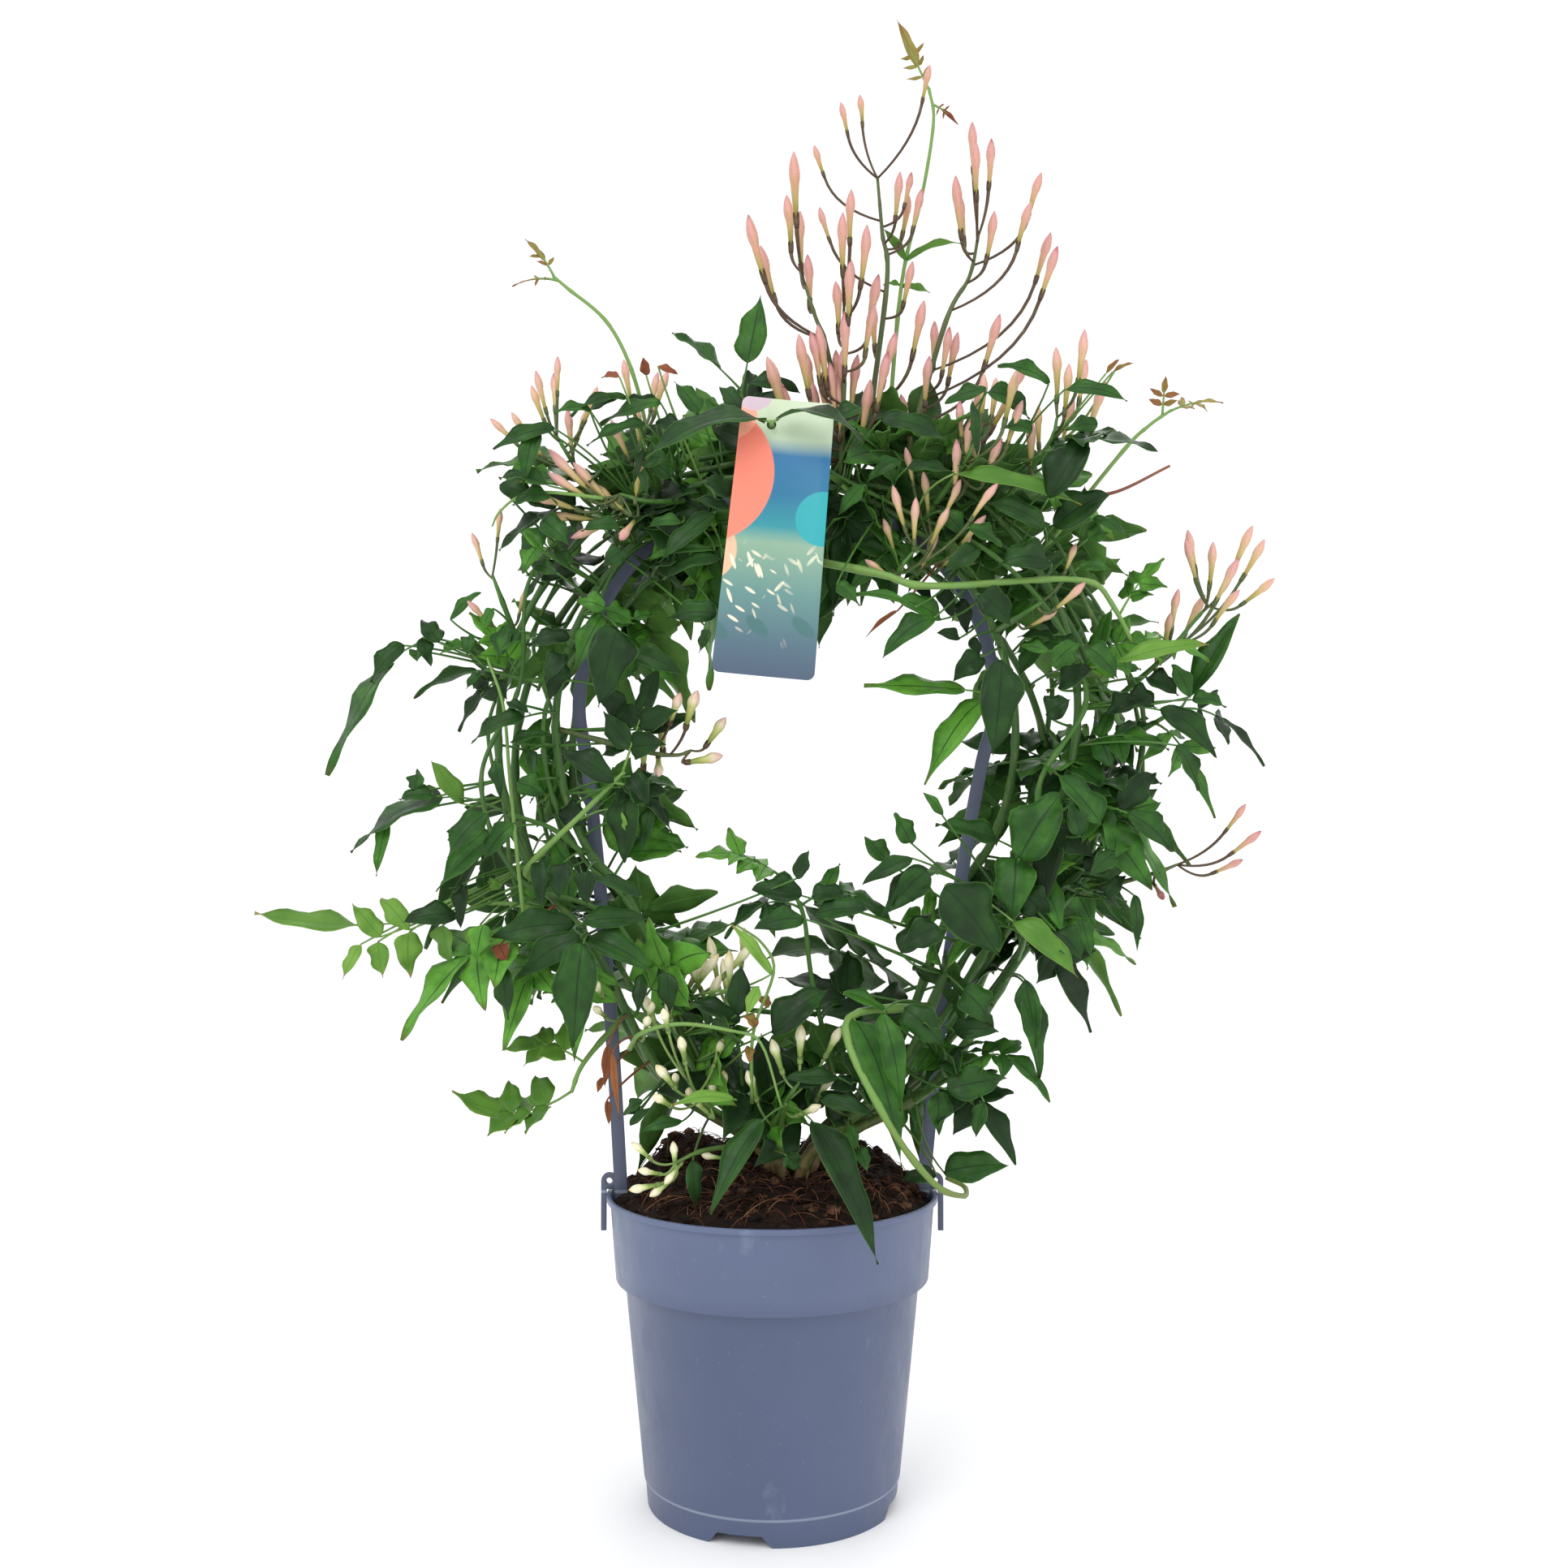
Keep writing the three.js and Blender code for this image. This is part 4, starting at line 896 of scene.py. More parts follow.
def root_on(spot, aim, radius, seat):
    """Where a stem of a radius would start beside a spot, so that it heads for its aim."""
    point, along, thick = spot
    heading = unit(aim - point)
    away = unit(heading - along * (heading @ along))
    slant = sqrt(max(0, 1 - (heading @ away) ** 2))
    return point + away * (thick + GAP + radius * slant + seat)


def stem_curve(name, route, radius):
    """The curve of the frame's stem: the start whose ring of corners the frame has."""
    corners, best = CORNERS[name], None
    for shift in STEM_TRIES:
        moved = np.array(route, float) + vec(0, shift, 0)
        far = np.linalg.norm(SPOT_POINTS - moved[0], axis=1)
        for k in np.argsort(far, kind="stable")[:SPOTS_TRIED]:
            for seat in SEAT_TRIES:
                root = root_on(SPOTS[k], moved[1], radius, seat)
                gaps = np.abs(np.linalg.norm(corners - root, axis=1) - radius)
                miss = np.sort(gaps)[2]  # three corners of the ring have to fit
                if best is None or miss < best[0]:
                    best = miss, Through([root, *moved[1:]])
    if best[0] > START_SLACK:
        print(name, "start is off by", round(best[0], 3))
    return best[1]


# %% [markdown]
# ## Shoots and sprays
#
# A shoot is a green side stem with a few leaves, and a spray is a side stem that ends in a
# bunch of buds. The lists below are the plant's plan: the route of each stem and the place of
# each leaf tip and bud tip.
#
# In a spray, `tips` are the frame's buds by x and z, with a size of their own where a third
# number follows, and `more` are buds that only this lesson grows. In a shoot, each leaf has its
# share of the way along the stem, its tip, how high it arches, and its pairs of leaflets. The
# first `single` leaves are one leaflet each, `form` shapes the leaflets, and `lead` is where the
# drawn stem comes from if it differs from the frame's.

# %% The plan of the sprays
SPRAYS = [
    dict(
        name="spray_top_middle", upright=0.55, size=0.61,
        stem=[[48, -4, 473], [49, -6, 515], [47, -6, 537], [45, -6, 561]],
        tips=[
            [38, 602], [18, 578], [66, 601], [29, 589], [60, 565], [20, 546], [44, 511, 0.9],
            [60, 524, 0.9], [64, 504, 0.9], [54, 559, 0.8], [59, 557, 0.8], [64, 555, 0.8],
        ],
    ),
    dict(
        name="spray_top_left", upright=0.55, size=1.06,
        stem=[[29, -14, 453], [23, -16, 484], [18, -16, 498], [12, -16, 517]],
        tips=[[-10, 538], [-5, 530], [6, 552], [9, 557], [12, 551], [15, 527]],
    ),
    dict(
        name="spray_top_low", upright=0.55, size=0.98,
        stem=[[30, -24, 440], [30, -24, 470], [30, -22, 499]],
        tips=[
            [29, 533], [33, 547], [34, 527], [39, 529], [32, 514], [45, 516], [11, 485], [16, 488],
            [24, 476], [30, 484], [36, 481], [41, 469], [3, 471], [-2, 476],
        ],
        more=[
            [27, 515], [43, 501], [30, 495], [19, 491], [14, 485], [27, 485], [48, 479], [-1, 479],
            [17, 470], [21, 473], [27, 472], [52, 490],
        ],
    ),
    dict(
        name="spray_top_right", upright=0.55, size=0.92,
        stem=[[62, -8, 465], [74, -8, 498], [84, -8, 517], [88, -8, 535]],
        tips=[
            [86, 586], [94, 578], [85, 567], [115, 562], [80, 558], [77, 556], [94, 543], [110, 548],
            [121, 541], [122, 531], [80, 496], [97, 501], [70, 501], [109, 482],
        ],
        more=[[92, 473], [75, 494], [55, 468], [104, 470], [66, 480]],
    ),
    dict(
        name="spray_shoulder_outer", upright=0.55, warm=True,
        stem=[[104, -26, 423], [114, -28, 440], [118, -28, 452]],
        tips=[[118, 482], [132, 479], [121, 471], [112, 460], [138, 467]],
        more=[[126, 462], [108, 452], [128, 486]],
    ),
    dict(
        name="spray_shoulder_inner", upright=0.55, warm=True,
        stem=[[73, -34, 415], [78, -36, 430], [83, -36, 440]],
        tips=[[99, 467], [93, 469], [88, 471], [82, 451], [75, 440], [94, 441]],
        more=[[102, 456], [78, 460], [86, 446]],
    ),
    dict(
        name="spray_front_right", size=0.72, warm=True,
        stem=[[50, -30, 376], [52, -38, 386], [59, -40, 396]],
        tips=[
            [55, 439], [77, 424], [90, 419], [87, 409], [58, 415], [68, 403], [49, 421], [43, 402],
            [38, 392],
        ],
        more=[[62, 428], [82, 402], [46, 410], [72, 412]],
    ),
    dict(
        name="spray_arch_right", size=0.66, warm=True,
        stem=[[96, -32, 366], [104, -40, 370], [110, -40, 374]],
        tips=[[125, 399], [124, 379], [118, 372]],
    ),
    dict(
        name="spray_right", size=0.8, warm=True,
        stem=[[140, -6, 338], [164, -12, 353], [176, -12, 367], [184, -12, 376]],
        tips=[
            [178, 410], [174, 404], [183, 401], [200, 408], [211, 406], [190, 392], [185, 382],
            [196, 382], [213, 388], [168, 381], [166, 372], [163, 365],
        ],
    ),
    dict(
        name="spray_right_low", size=0.58,
        stem=[[128, -20, 252], [157, -22, 263], [168, -22, 267]],
        tips=[[194, 292], [201, 281], [197, 269], [159, 253]],
    ),
    dict(
        name="spray_left_outer", size=0.68, warm=True,
        stem=[[-72, -18, 422], [-84, -20, 436], [-90, -20, 446]],
        tips=[[-89, 478], [-93, 476], [-101, 468], [-111, 459], [-73, 467], [-117, 452], [-84, 455]],
        more=[[-97, 470], [-106, 446], [-78, 458]],
    ),
    dict(
        name="spray_left_inner", size=0.76, warm=True,
        stem=[[-48, -24, 420], [-53, -26, 436], [-54, -26, 446]],
        tips=[[-61, 475], [-48, 474], [-43, 472], [-67, 452], [-57, 460]],
    ),
    dict(
        name="spray_left_level", size=0.9, warm=True,
        stem=[[-30, -34, 408], [-50, -38, 415], [-62, -38, 418]],
        tips=[[-90, 435], [-81, 431], [-90, 425], [-98, 417], [-82, 400], [-53, 436], [-60, 396]],
        more=[[-74, 424], [-94, 410]],
    ),
    dict(
        name="spray_left_side", size=0.58, warm=True,
        stem=[[-106, -16, 360], [-114, -18, 380], [-117, -18, 388]],
        tips=[[-126, 406], [-112, 414], [-106, 384], [-126, 376]],
    ),
    dict(
        name="spray_hole_left", size=0.62, blush=True,
        stem=[[-74, -26, 321], [-55, -28, 314], [-40, -28, 312], [-33, -28, 314]],
        tips=[[-37, 337], [-30, 338], [-19, 328], [-20, 312], [-46, 329], [-52, 322], [-46, 303]],
    ),
    dict(
        name="spray_low_back", size=0.75, white=True, plump=1.35,
        stem=[[-7, -10, 166], [-14, -14, 190], [-18, -14, 207]],
        tips=[[-27, 236], [-17, 233], [-37, 230], [-21, 227], [-12, 239]],
        more=[[-27, 228], [-22, 230], [-8, 234], [-38, 232], [-34, 229], [-21, 222]],
    ),
    dict(
        name="spray_low_left", size=0.5, white=True,
        stem=[[-12, -20, 155], [-26, -34, 170], [-34, -36, 180]],
        tips=[[-52, 214], [-42, 212], [-36, 200], [-20, 196], [-46, 188], [-46, 178], [-34, 174]],
        more=[
            [-48, 212], [-49, 207], [-42, 212], [-39, 183], [-34, 176], [-25, 178], [-20, 183],
            [-23, 181], [-71, 221], [-72, 210],
        ],
    ),
    dict(
        name="spray_low_right", size=0.55, white=True,
        stem=[[0, -20, 156], [6, -38, 172], [11, -42, 180]],
        tips=[[0, 197], [12, 203], [28, 201], [26, 182], [20, 171], [-10, 184]],
    ),
    dict(
        name="spray_over_soil", depth=16, size=0.45, white=True,
        stem=[[-8, -20, 156], [-26, -46, 154], [-38, -52, 150]],
        tips=[[-56, 157], [-52, 149], [-56, 140], [-48, 137], [-42, 142], [-39, 158], [-29, 148]],
    ),
]
print("planned", len(SPRAYS), "sprays with", sum(len(s["tips"]) for s in SPRAYS), "buds of the frame")

# %% The plan of the shoots
SHOOTS = [
    dict(
        name="shoot_tip", look="bronze", form=dict(slim=0.46, fronds=0.56, start=0.32),
        route=[[54, 4, 462], [56, 4, 518], [65, 4, 557], [70, 4, 589], [68, 4, 604]],
        leaves=[[0.98, [54, 4, 634], 0, 3], [0.86, [81, 4, 588], 1, 2]],
    ),
    dict(
        name="shoot_arch_left", look="bronze", form=dict(slim=0.5, fronds=0.6, start=0.32),
        route=[[-52, -10, 440], [-57, -12, 468], [-69, -12, 495], [-87, -12, 511], [-93, -12, 516]],
        leaves=[[0.96, [-105, -12, 532], 2, 2], [0.86, [-110, -14, 511], 2, 2]],
    ),
    dict(
        name="shoot_right", look="bronze", form=dict(slim=0.65),
        route=[[130, -6, 412], [148, -8, 441], [160, -8, 453], [170, -8, 460]],
        leaves=[[0.96, [192, -8, 463], 2, 2], [0.86, [167, -10, 474], 1, 2]],
    ),
    dict(
        name="trail_left_high", single=1, form=dict(start=0.6),
        route=[[-86, -14, 340], [-102, -18, 344], [-119, -20, 348]],
        leaves=[
            [0.98, [-184, -24, 304], 31, 3], [0.7, [-130, -22, 322], 6], [0.6, [-126, -20, 388], 3],
        ],
    ),
    dict(
        name="trail_left_mid", single=2, form=dict(start=0.42),
        route=[[-79, -14, 274], [-92, -18, 282], [-110, -20, 288]],
        leaves=[[0.98, [-174, -24, 272], 14, 3], [0.6, [-136, -24, 256], 8]],
    ),
    dict(
        name="trail_left_bright", look="bright", single=1, form=dict(start=0.56, slim=0.75),
        route=[[-89, -14, 240], [-105, -18, 250], [-118, -20, 251]],
        leaves=[[0.98, [-214, -22, 247], -7, 4]],
    ),
    dict(
        name="shoot_low_left",
        route=[[-69, -16, 217], [-84, -26, 232], [-97, -28, 237]],
        leaves=[[0.98, [-151, -30, 195], 14], [0.65, [-109, -34, 192], 10], [0.3, [-80, -38, 188], 10]],
    ),
    dict(
        name="trail_low_bright", look="bright",
        route=[[-62, -10, 205], [-77, -16, 186], [-82, -18, 174]],
        leaves=[[0.98, [-132, -20, 174], -9, 3], [0.5, [-112, -20, 190], 5]],
    ),
    dict(
        name="shoot_label", look="fresh", tone=0.3, single=2, form=dict(slim=0.62, start=0.05),
        route=[[10, -20, 428], [3, -44, 441], [0, -56, 443]],
        leaves=[[0.97, [-48, -60, 424], 8], [0.97, [36, -60, 430], 8]],
    ),
    dict(
        name="shoot_hole_low",
        route=[[17, -4, 180], [17, -6, 217], [13, -8, 246], [4, -8, 262]],
        leaves=[[0.98, [-32, -10, 270], 5, 3], [0.7, [-20, -14, 236], 8], [0.72, [52, -12, 240], 10]],
    ),
    dict(
        name="shoot_hole_right", look="fresh", single=2, form=dict(slim=0.75, start=0.2),
        route=[[100, -18, 333], [90, -24, 338]],
        leaves=[[0.97, [38, -26, 341], 1], [0.6, [62, -30, 300], 8]],
    ),
    dict(
        name="shoot_level", thick=1.9, look="fresh", lead=[20, -32, 391],
        route=[
            [40, -20, 392], [46, -40, 384], [70, -42, 380], [105, -42, 382], [130, -38, 382],
            [141, -34, 370], [148, -30, 358],
        ],
        leaves=[[0.99, [180, -30, 350], 4], [0.85, [160, -36, 392], 3]],
    ),
    dict(
        name="shoot_diagonal", thick=1.8, look="fresh", tone=0.15,
        route=[[-112, -14, 256], [-100, -28, 266], [-76, -34, 289], [-60, -34, 305]],
        leaves=[[0.98, [-46, -34, 350], 0], [0.9, [-40, -38, 280], 5]],
    ),
    dict(
        name="shoot_loop", thick=1.9, look="fresh", tone=0.5, single=1, form=dict(slim=0.5, start=0.08),
        route=[
            [30, -20, 215], [30, -46, 205], [44, -62, 170], [62, -68, 146], [75, -56, 138],
            [77, -44, 139], [71, -32, 140],
        ],
        leaves=[[0.15, [50, -60, 150], 12]],
    ),
    dict(
        name="shoot_right_tip", single=1, form=dict(slim=0.6, start=0.12),
        route=[[140, -8, 318], [160, -16, 326], [172, -16, 333]],
        leaves=[[0.98, [196, -16, 372], 0], [0.9, [206, -16, 308], 8], [0.5, [184, -20, 286], 8]],
    ),
    dict(
        name="shoot_top_left", single=2, tone=0.6,
        route=[[-11, -8, 436], [-13, -12, 468]],
        leaves=[[0.97, [-42, -12, 490], 2], [0.95, [-5, -12, 508], 0]],
    ),
    dict(
        name="shoot_over_pot", single=2, form=dict(slim=0.62),
        route=[[8, -20, 160], [6, -44, 172]],
        leaves=[[0.97, [-24, -64, 133], 8], [0.97, [40, -82, 118], 14]],
    ),
    dict(
        name="shoot_low_right",
        route=[[60, -14, 172], [78, -32, 184]],
        leaves=[[0.97, [112, -40, 172], 12], [0.6, [98, -44, 148], 8], [0.6, [60, -52, 205], 6]],
    ),
    dict(
        name="shoot_mid_right",
        route=[[96, -16, 236], [104, -34, 240]],
        leaves=[[0.97, [128, -42, 200], 10], [0.8, [70, -46, 226], 10], [0.5, [150, -36, 226], 8]],
    ),
    dict(
        name="shoot_upper_right",
        route=[[112, -14, 290], [124, -30, 292]],
        leaves=[[0.97, [164, -34, 250], 14], [0.8, [108, -40, 246], 12], [0.4, [160, -30, 300], 8]],
    ),
    dict(
        name="shoot_shoulder_right",
        route=[[92, -18, 418], [104, -30, 432]],
        leaves=[[0.97, [154, -28, 440], 8], [0.6, [140, -34, 400], 8], [0.4, [60, -40, 440], 8]],
    ),
    dict(
        name="shoot_shoulder_left",
        route=[[-66, -14, 408], [-78, -28, 418]],
        leaves=[[0.97, [-124, -28, 440], 8], [0.7, [-112, -32, 396], 8], [0.4, [-34, -40, 396], 8]],
    ),
]
print("planned", len(SHOOTS), "shoots with", sum(len(s["leaves"]) for s in SHOOTS), "leaves")

# %% Where the leaf and bud tips ended up
DEPTH_TRIES = (0, -6, 6, -12, 12, -18, 18, -24, 24)
HEIGHT_TRIES = (0, -8, 8, -16, 16)
FOUND_WITHIN = 0.9  # mm between a tip that was kept and the frame's nearest corner
MISSES = []


def kept(name, tips):
    """Of a leaf's or bud's possible tips, the one where the frame's node has a corner."""
    gaps = [nearest(name, tip) for tip in tips]
    best = int(np.argmin(gaps))
    if gaps[best] > FOUND_WITHIN:
        MISSES.append((name, round(gaps[best], 1)))
        return 0
    return best


def facing_of(base):
    """The way a leaf's upper side looks: up, and outwards on its side of the wreath."""
    return vec(0, -0.5 if base[1] < 0 else 0.5, 0.87)


def leaf_in_frame(name, curve, t, tip, arch, pairs=2):
    """Base and tip of one of the frame's leaves."""
    base = curve.at(t)[0]
    tips = [np.add(tip, (0, dy, dz)) for dz in HEIGHT_TRIES for dy in DEPTH_TRIES]
    return base, tips[kept(name, tips)], arch, pairs


def stalk_root(curve, tip, size):
    """The place on a spray's stem where the stalk of a bud leaves it."""

    def drop(p):
        sideways = hypot(tip[0] - p[0], tip[1] - p[1])
        fall = abs(tip[2] - p[2] - BUD_LENGTH * size * 0.8 - 0.8 * sideways)
        return fall + 0.4 * sideways

    best, t = curve.at(0.99)[0], 0.06
    while t < 0.98:
        p = curve.at(t + 0.02 * noise(tip[0], tip[2], 5))[0]
        if drop(p) < drop(best):
            best = p
        t += 0.03
    return best


def bud_tip(name, curve, x, z, depth, index):
    """The tip of one of the frame's buds, or of one that only the lesson grows."""
    y = curve.at(1)[0][1] + depth * (noise(x, z, index) - 0.5)
    tips = [vec(x, y + dy, z) for dy in DEPTH_TRIES]
    return tips[kept(name, tips)] if name else tips[0]


def bud_lean(root, tip, upright):
    """A bud follows its stalk and turns up to the light."""
    return unit(mix(unit(tip - root), UP, upright))


# %% Grow the sprays
for n, spray in enumerate(SPRAYS):
    name, white = spray["name"], spray.get("white", False)
    depth, usual = spray.get("depth", 26), spray.get("size", 0.85)
    curve = stem_curve(name, spray["stem"], 1.5)
    pale = white or "blush" in spray
    skin, cup, wood = PINK_BUD, CALYX, OLIVE
    if white:
        skin, cup, wood = CREAM_BUD, GREEN_CALYX, STEM
    elif "warm" in spray:
        skin, cup, wood = WARM_BUD, OLIVE, STEM
    elif pale:
        skin = BLUSH_BUD
    growth = Growth("buds_" + name.removeprefix("spray_"), [skin, cup, wood])
    growth.stem(curve, (1.3, 0.6), sides=8, rings=24, kind=2, knots=0.25)
    for index, (x, z, *own) in enumerate(spray["tips"] + spray.get("more", [])):
        size = (own[0] if own else usual) * (0.88 + 0.24 * noise(x, z, 41))
        plump = spray.get("plump", 1.9) if pale else 1.5 - 0.38 * size
        known = name if index < len(spray["tips"]) else None
        tip = bud_tip(known, curve, x, z, depth, index)
        root = stalk_root(curve, tip, size)
        if white and not known:
            root = nearest_spot(tip - UP * 16)
        lean = bud_lean(root, tip, spray.get("upright", 0.25))
        grow_bud(growth, root, tip, lean, size, plump, n * 20 + index)
    growth.piece("buds_cream" if pale else "buds_pink", name)
print("grew", len(SPRAYS), "sprays; tips not found in the frame:", MISSES)

# %% Grow the shoots
BACK_STEMS = {
    "back_right_low": (-38, -8), "back_right_high": (8, 40), "back_top_right": (52, 80),
    "back_top_left": (92, 122), "back_left_high": (134, 164), "back_left_low": (176, 206),
    "back_low": (236, 300),
}  # the angles on the ring at which each starts and ends
OUTWARDS, BACKWARDS = (62, 18), (34, 72)  # how far out and how far back a leaf's tip reaches


def back_shoot(name, k):
    """The plan of one of the leafy stems along the wreath's back, which has three leaves."""
    start, end = BACK_STEMS[name]
    route = [ring_point(mix(start, end, t), 6, 26 + 8 * sin(pi * t)) for t in (0, 0.33, 0.66, 1)]
    leaves = []
    for i in range(3):
        t = 0.3 + 0.68 * i / 2
        outwards, depth = BACKWARDS if i % 2 else OUTWARDS
        angle = mix(start, end, t) + 26 * (noise(k, i, 1) - 0.4)
        tip = ring_point(angle, outwards, depth) - UP * (14 + 16 * noise(k, i, 2))
        leaves.append([t, tip, 10])
    return {"name": name, "route": route, "leaves": leaves, "form": {"slim": 0.68}}


LOOKS = {  # the finishes of upper side, underside and stem, and the leaves' tone
    "dark": ([LEAF, SHADED_UNDERSIDE, STEM], None),
    "fresh": ([LEAF, SHADED_UNDERSIDE, FRESH_STEM], 0.85),
    "bright": ([YOUNG, YOUNG_BACK, FRESH_STEM], None),
    "bronze": ([BRONZE, BRONZE, FRESH_STEM], None),
}
plans = SHOOTS + [back_shoot(name, k) for k, name in enumerate(BACK_STEMS)]
for n, shoot in enumerate(plans):
    name, look = shoot["name"], shoot.get("look", "dark")
    thick = shoot.get("thick", 1.4)
    curve = stem_curve(name, shoot["route"], thick)
    finishes, tone = LOOKS[look]
    tone = shoot.get("tone", tone)
    growth = Growth("leaves_" + name, finishes)
    drawn = curve
    if "lead" in shoot:
        drawn = Through([shoot["lead"]] + list(curve.at(np.linspace(0.16, 1, 9))))
    slender = 0.78 if look == "bronze" else 1
    thickness = (thick - 0.15) * slender, 0.8 * slender
    growth.stem(drawn, thickness, sides=8, rings=32, kind=2, knots=0.25)
    for i, leaf in enumerate(shoot["leaves"]):
        base, tip, arch, pairs = leaf_in_frame(name, curve, *leaf)
        pairs = 0 if i < shoot.get("single", 0) else pairs
        grown = leaf_in_place(
            base, tip, arch, facing_of(base), pairs, 7 * n + 2 * i, tone, **shoot.get("form", {})
        )
        add_leaf(growth, grown)
    growth.piece("leaves" if look == "dark" else "leaves_young", name)
print("grew", len(plans), "shoots; tips not found in the frame:", MISSES)

# %% [markdown]
# ## The foliage between
#
# The frame holds the plant's outline with few leaves. The real wreath is packed with them: each
# vine bears a pair of opposite leaves every 16 mm or so, and each pair is turned a quarter from
# the last. The same rule is used here. A leaf is left out where it would hang in the wreath's
# clear middle, cover the label, hide the hoop, or leave the wreath's squarish outline.

# %% Where a leaf may be
HOOP_X, HOOP_Z, HOOP_RADIUS = 6.4, 336, 89  # the centre and the radius of the hoop's arch
LEG_X, LEG_FOOT, LEG_TOP = 64.2, 130, 308  # a leg's x at the pot's rim, and where it leans out
CLEAR = ((16, 316, 61, 65), (52, 350, 38, 34))  # ellipses in the middle: centre, half sizes
OUTLINE_X, OUTLINE_Z, HALF_LEFT, HALF_RIGHT, HALF_Z = 14, 310, 122, 141, 158
SQUARE = 3.4  # how square the outline is: 2 would be an ellipse
FOREMOST, HINDMOST, LOWEST = -38, 72, 140  # most of a leaf stays within these
BACKMOST = 82  # no corner of a leaf reaches farther back
NECK_X, NECK_HALF, NECK_SPREAD = 6, 62, 1.3  # the outline's foot: middle, half width, slope
LABEL_AREA, LABEL_FRONT = (-27, 26, 336, 449), -24  # its x and z; a smaller y is in front
SHOWING = {-1: ((132, 385),), 1: ((0, 165), (292, 380))}  # heights where the hoop shows
HOOP_HALF, HOOP_FRONT = 5, 2  # half its width with some air; a smaller y is in front
MOST_CLEAR, MOST_OUTSIDE, MOST_COVERING = 0.1, 0.16, 0.03  # shares of a leaf that are let pass


def leg_ends(side):
    """The x of a leg at the pot's rim, and where the arch starts."""
    return side * LEG_X, HOOP_X + side * HOOP_RADIUS


def hoop_line(z, side):
    """The x of one side of the hoop at heights z."""
    leg = mix(*leg_ends(side), np.clip((z - LEG_FOOT) / (LEG_TOP - LEG_FOOT), 0, 1))
    arch = HOOP_X + side * np.sqrt(np.maximum(0, HOOP_RADIUS**2 - (z - HOOP_Z) ** 2))
    return np.where(z > HOOP_Z, arch, leg)


def clear_share(points):
    """The share of a leaf's points that hang in the wreath's clear middle."""
    x, _, z = points.T
    clear = np.zeros(len(x), bool)
    for mid_x, mid_z, half_x, half_z in CLEAR:
        clear |= ((x - mid_x) / half_x) ** 2 + ((z - mid_z) / half_z) ** 2 < 1
    return clear.mean()


def outside_share(points):
    """The share beyond the wreath's squarish outline, which narrows below to the crown."""
    x, y, z = points.T
    half_x = np.where(x < OUTLINE_X, HALF_LEFT, HALF_RIGHT)
    away = (np.abs(x - OUTLINE_X) / half_x) ** SQUARE + (np.abs(z - OUTLINE_Z) / HALF_Z) ** SQUARE
    low = np.abs(x - NECK_X) > NECK_HALF + NECK_SPREAD * (z - LOWEST)
    return ((away > 1) | low | (y < FOREMOST) | (y > HINDMOST) | (z < LOWEST)).mean()


def covering_share(points):
    """The share in front of the label or of the stretches of hoop that show."""
    x, y, z = points.T
    left, right, low, high = LABEL_AREA
    covered = (x > left) & (x < right) & (z > low) & (z < high) & (y < LABEL_FRONT)
    for side, stretches in SHOWING.items():
        before_hoop = (np.abs(x - hoop_line(z, side)) < HOOP_HALF) & (y < HOOP_FRONT)
        for low, high in stretches:
            covered |= before_hoop & (z > low) & (z < high)
    return covered.mean()


def may_stand(leaf):
    """Whether a leaf keeps clear of all that has to stay in view."""
    points = np.vstack([blade[0] for blade in leaf[1]])
    return (
        clear_share(points) < MOST_CLEAR
        and outside_share(points) < MOST_OUTSIDE
        and covering_share(points) < MOST_COVERING
        and points[:, 1].max() < BACKMOST
    )


# %% Grow a pair of leaves at each joint of each vine
PAIR_EVERY = 16.0
SHORTER = (52, 38)  # mm, tried in turn where a full leaf doesn't fit
THREE_PAIRS = 66  # a leaf longer than this has three pairs of leaflets
TOP, LOW = 385, 275  # above the one few leaves are left out, below the other many


def pair_direction(curve, t, turn):
    """Away from the stem, turned about it from the wreath's outward side."""
    here, along = curve.at(t)[0], curve.tangent(t)[0]
    outward = unit(vec(here[0] - WREATH["x"], 0, here[2] - WREATH["z"]))
    outward = unit(outward - along * (outward @ along))
    depthwise = np.cross(along, outward)
    return here, along, outward * cos(turn) + depthwise * sin(turn)


def looser_facing(base, k):
    """Leaves turn their upper sides to the light: outwards and up, each a little astray."""
    side = -0.8 if base[1] < 4 else 0.8
    return vec(1.1 * (noise(k, 6, 1) - 0.5), side + 0.7 * (noise(k, 7, 1) - 0.5), 0.65)


def pair_leaf(curve, t, turn, k):
    """One leaf of a pair, at its full size or else shorter, or None where none may be."""
    here, along, away = pair_direction(curve, t, turn)
    lean = along * (0.6 * noise(k, 3, 1) - 0.1) - UP * (0.1 + 0.45 * noise(k, 4, 1))
    heading = unit(away + lean)
    base = here + away * 1.5
    for size in (50 + 44 * noise(k, 2, 1), *SHORTER):
        tip = base + heading * size
        pairs = 2 + (size > THREE_PAIRS)
        leaf = leaf_in_place(base, tip, 2 + 9 * noise(k, 5, 1), looser_facing(base, k), pairs, k)
        if may_stand(leaf):
            return leaf
    return None


def share_bare(joint):
    """The share of leaves left out: few at the top, most on the right and low down."""
    if joint[2] > TOP:
        return 0.06
    return 0.5 if joint[0] > 0 or joint[2] < LOW else 0.34


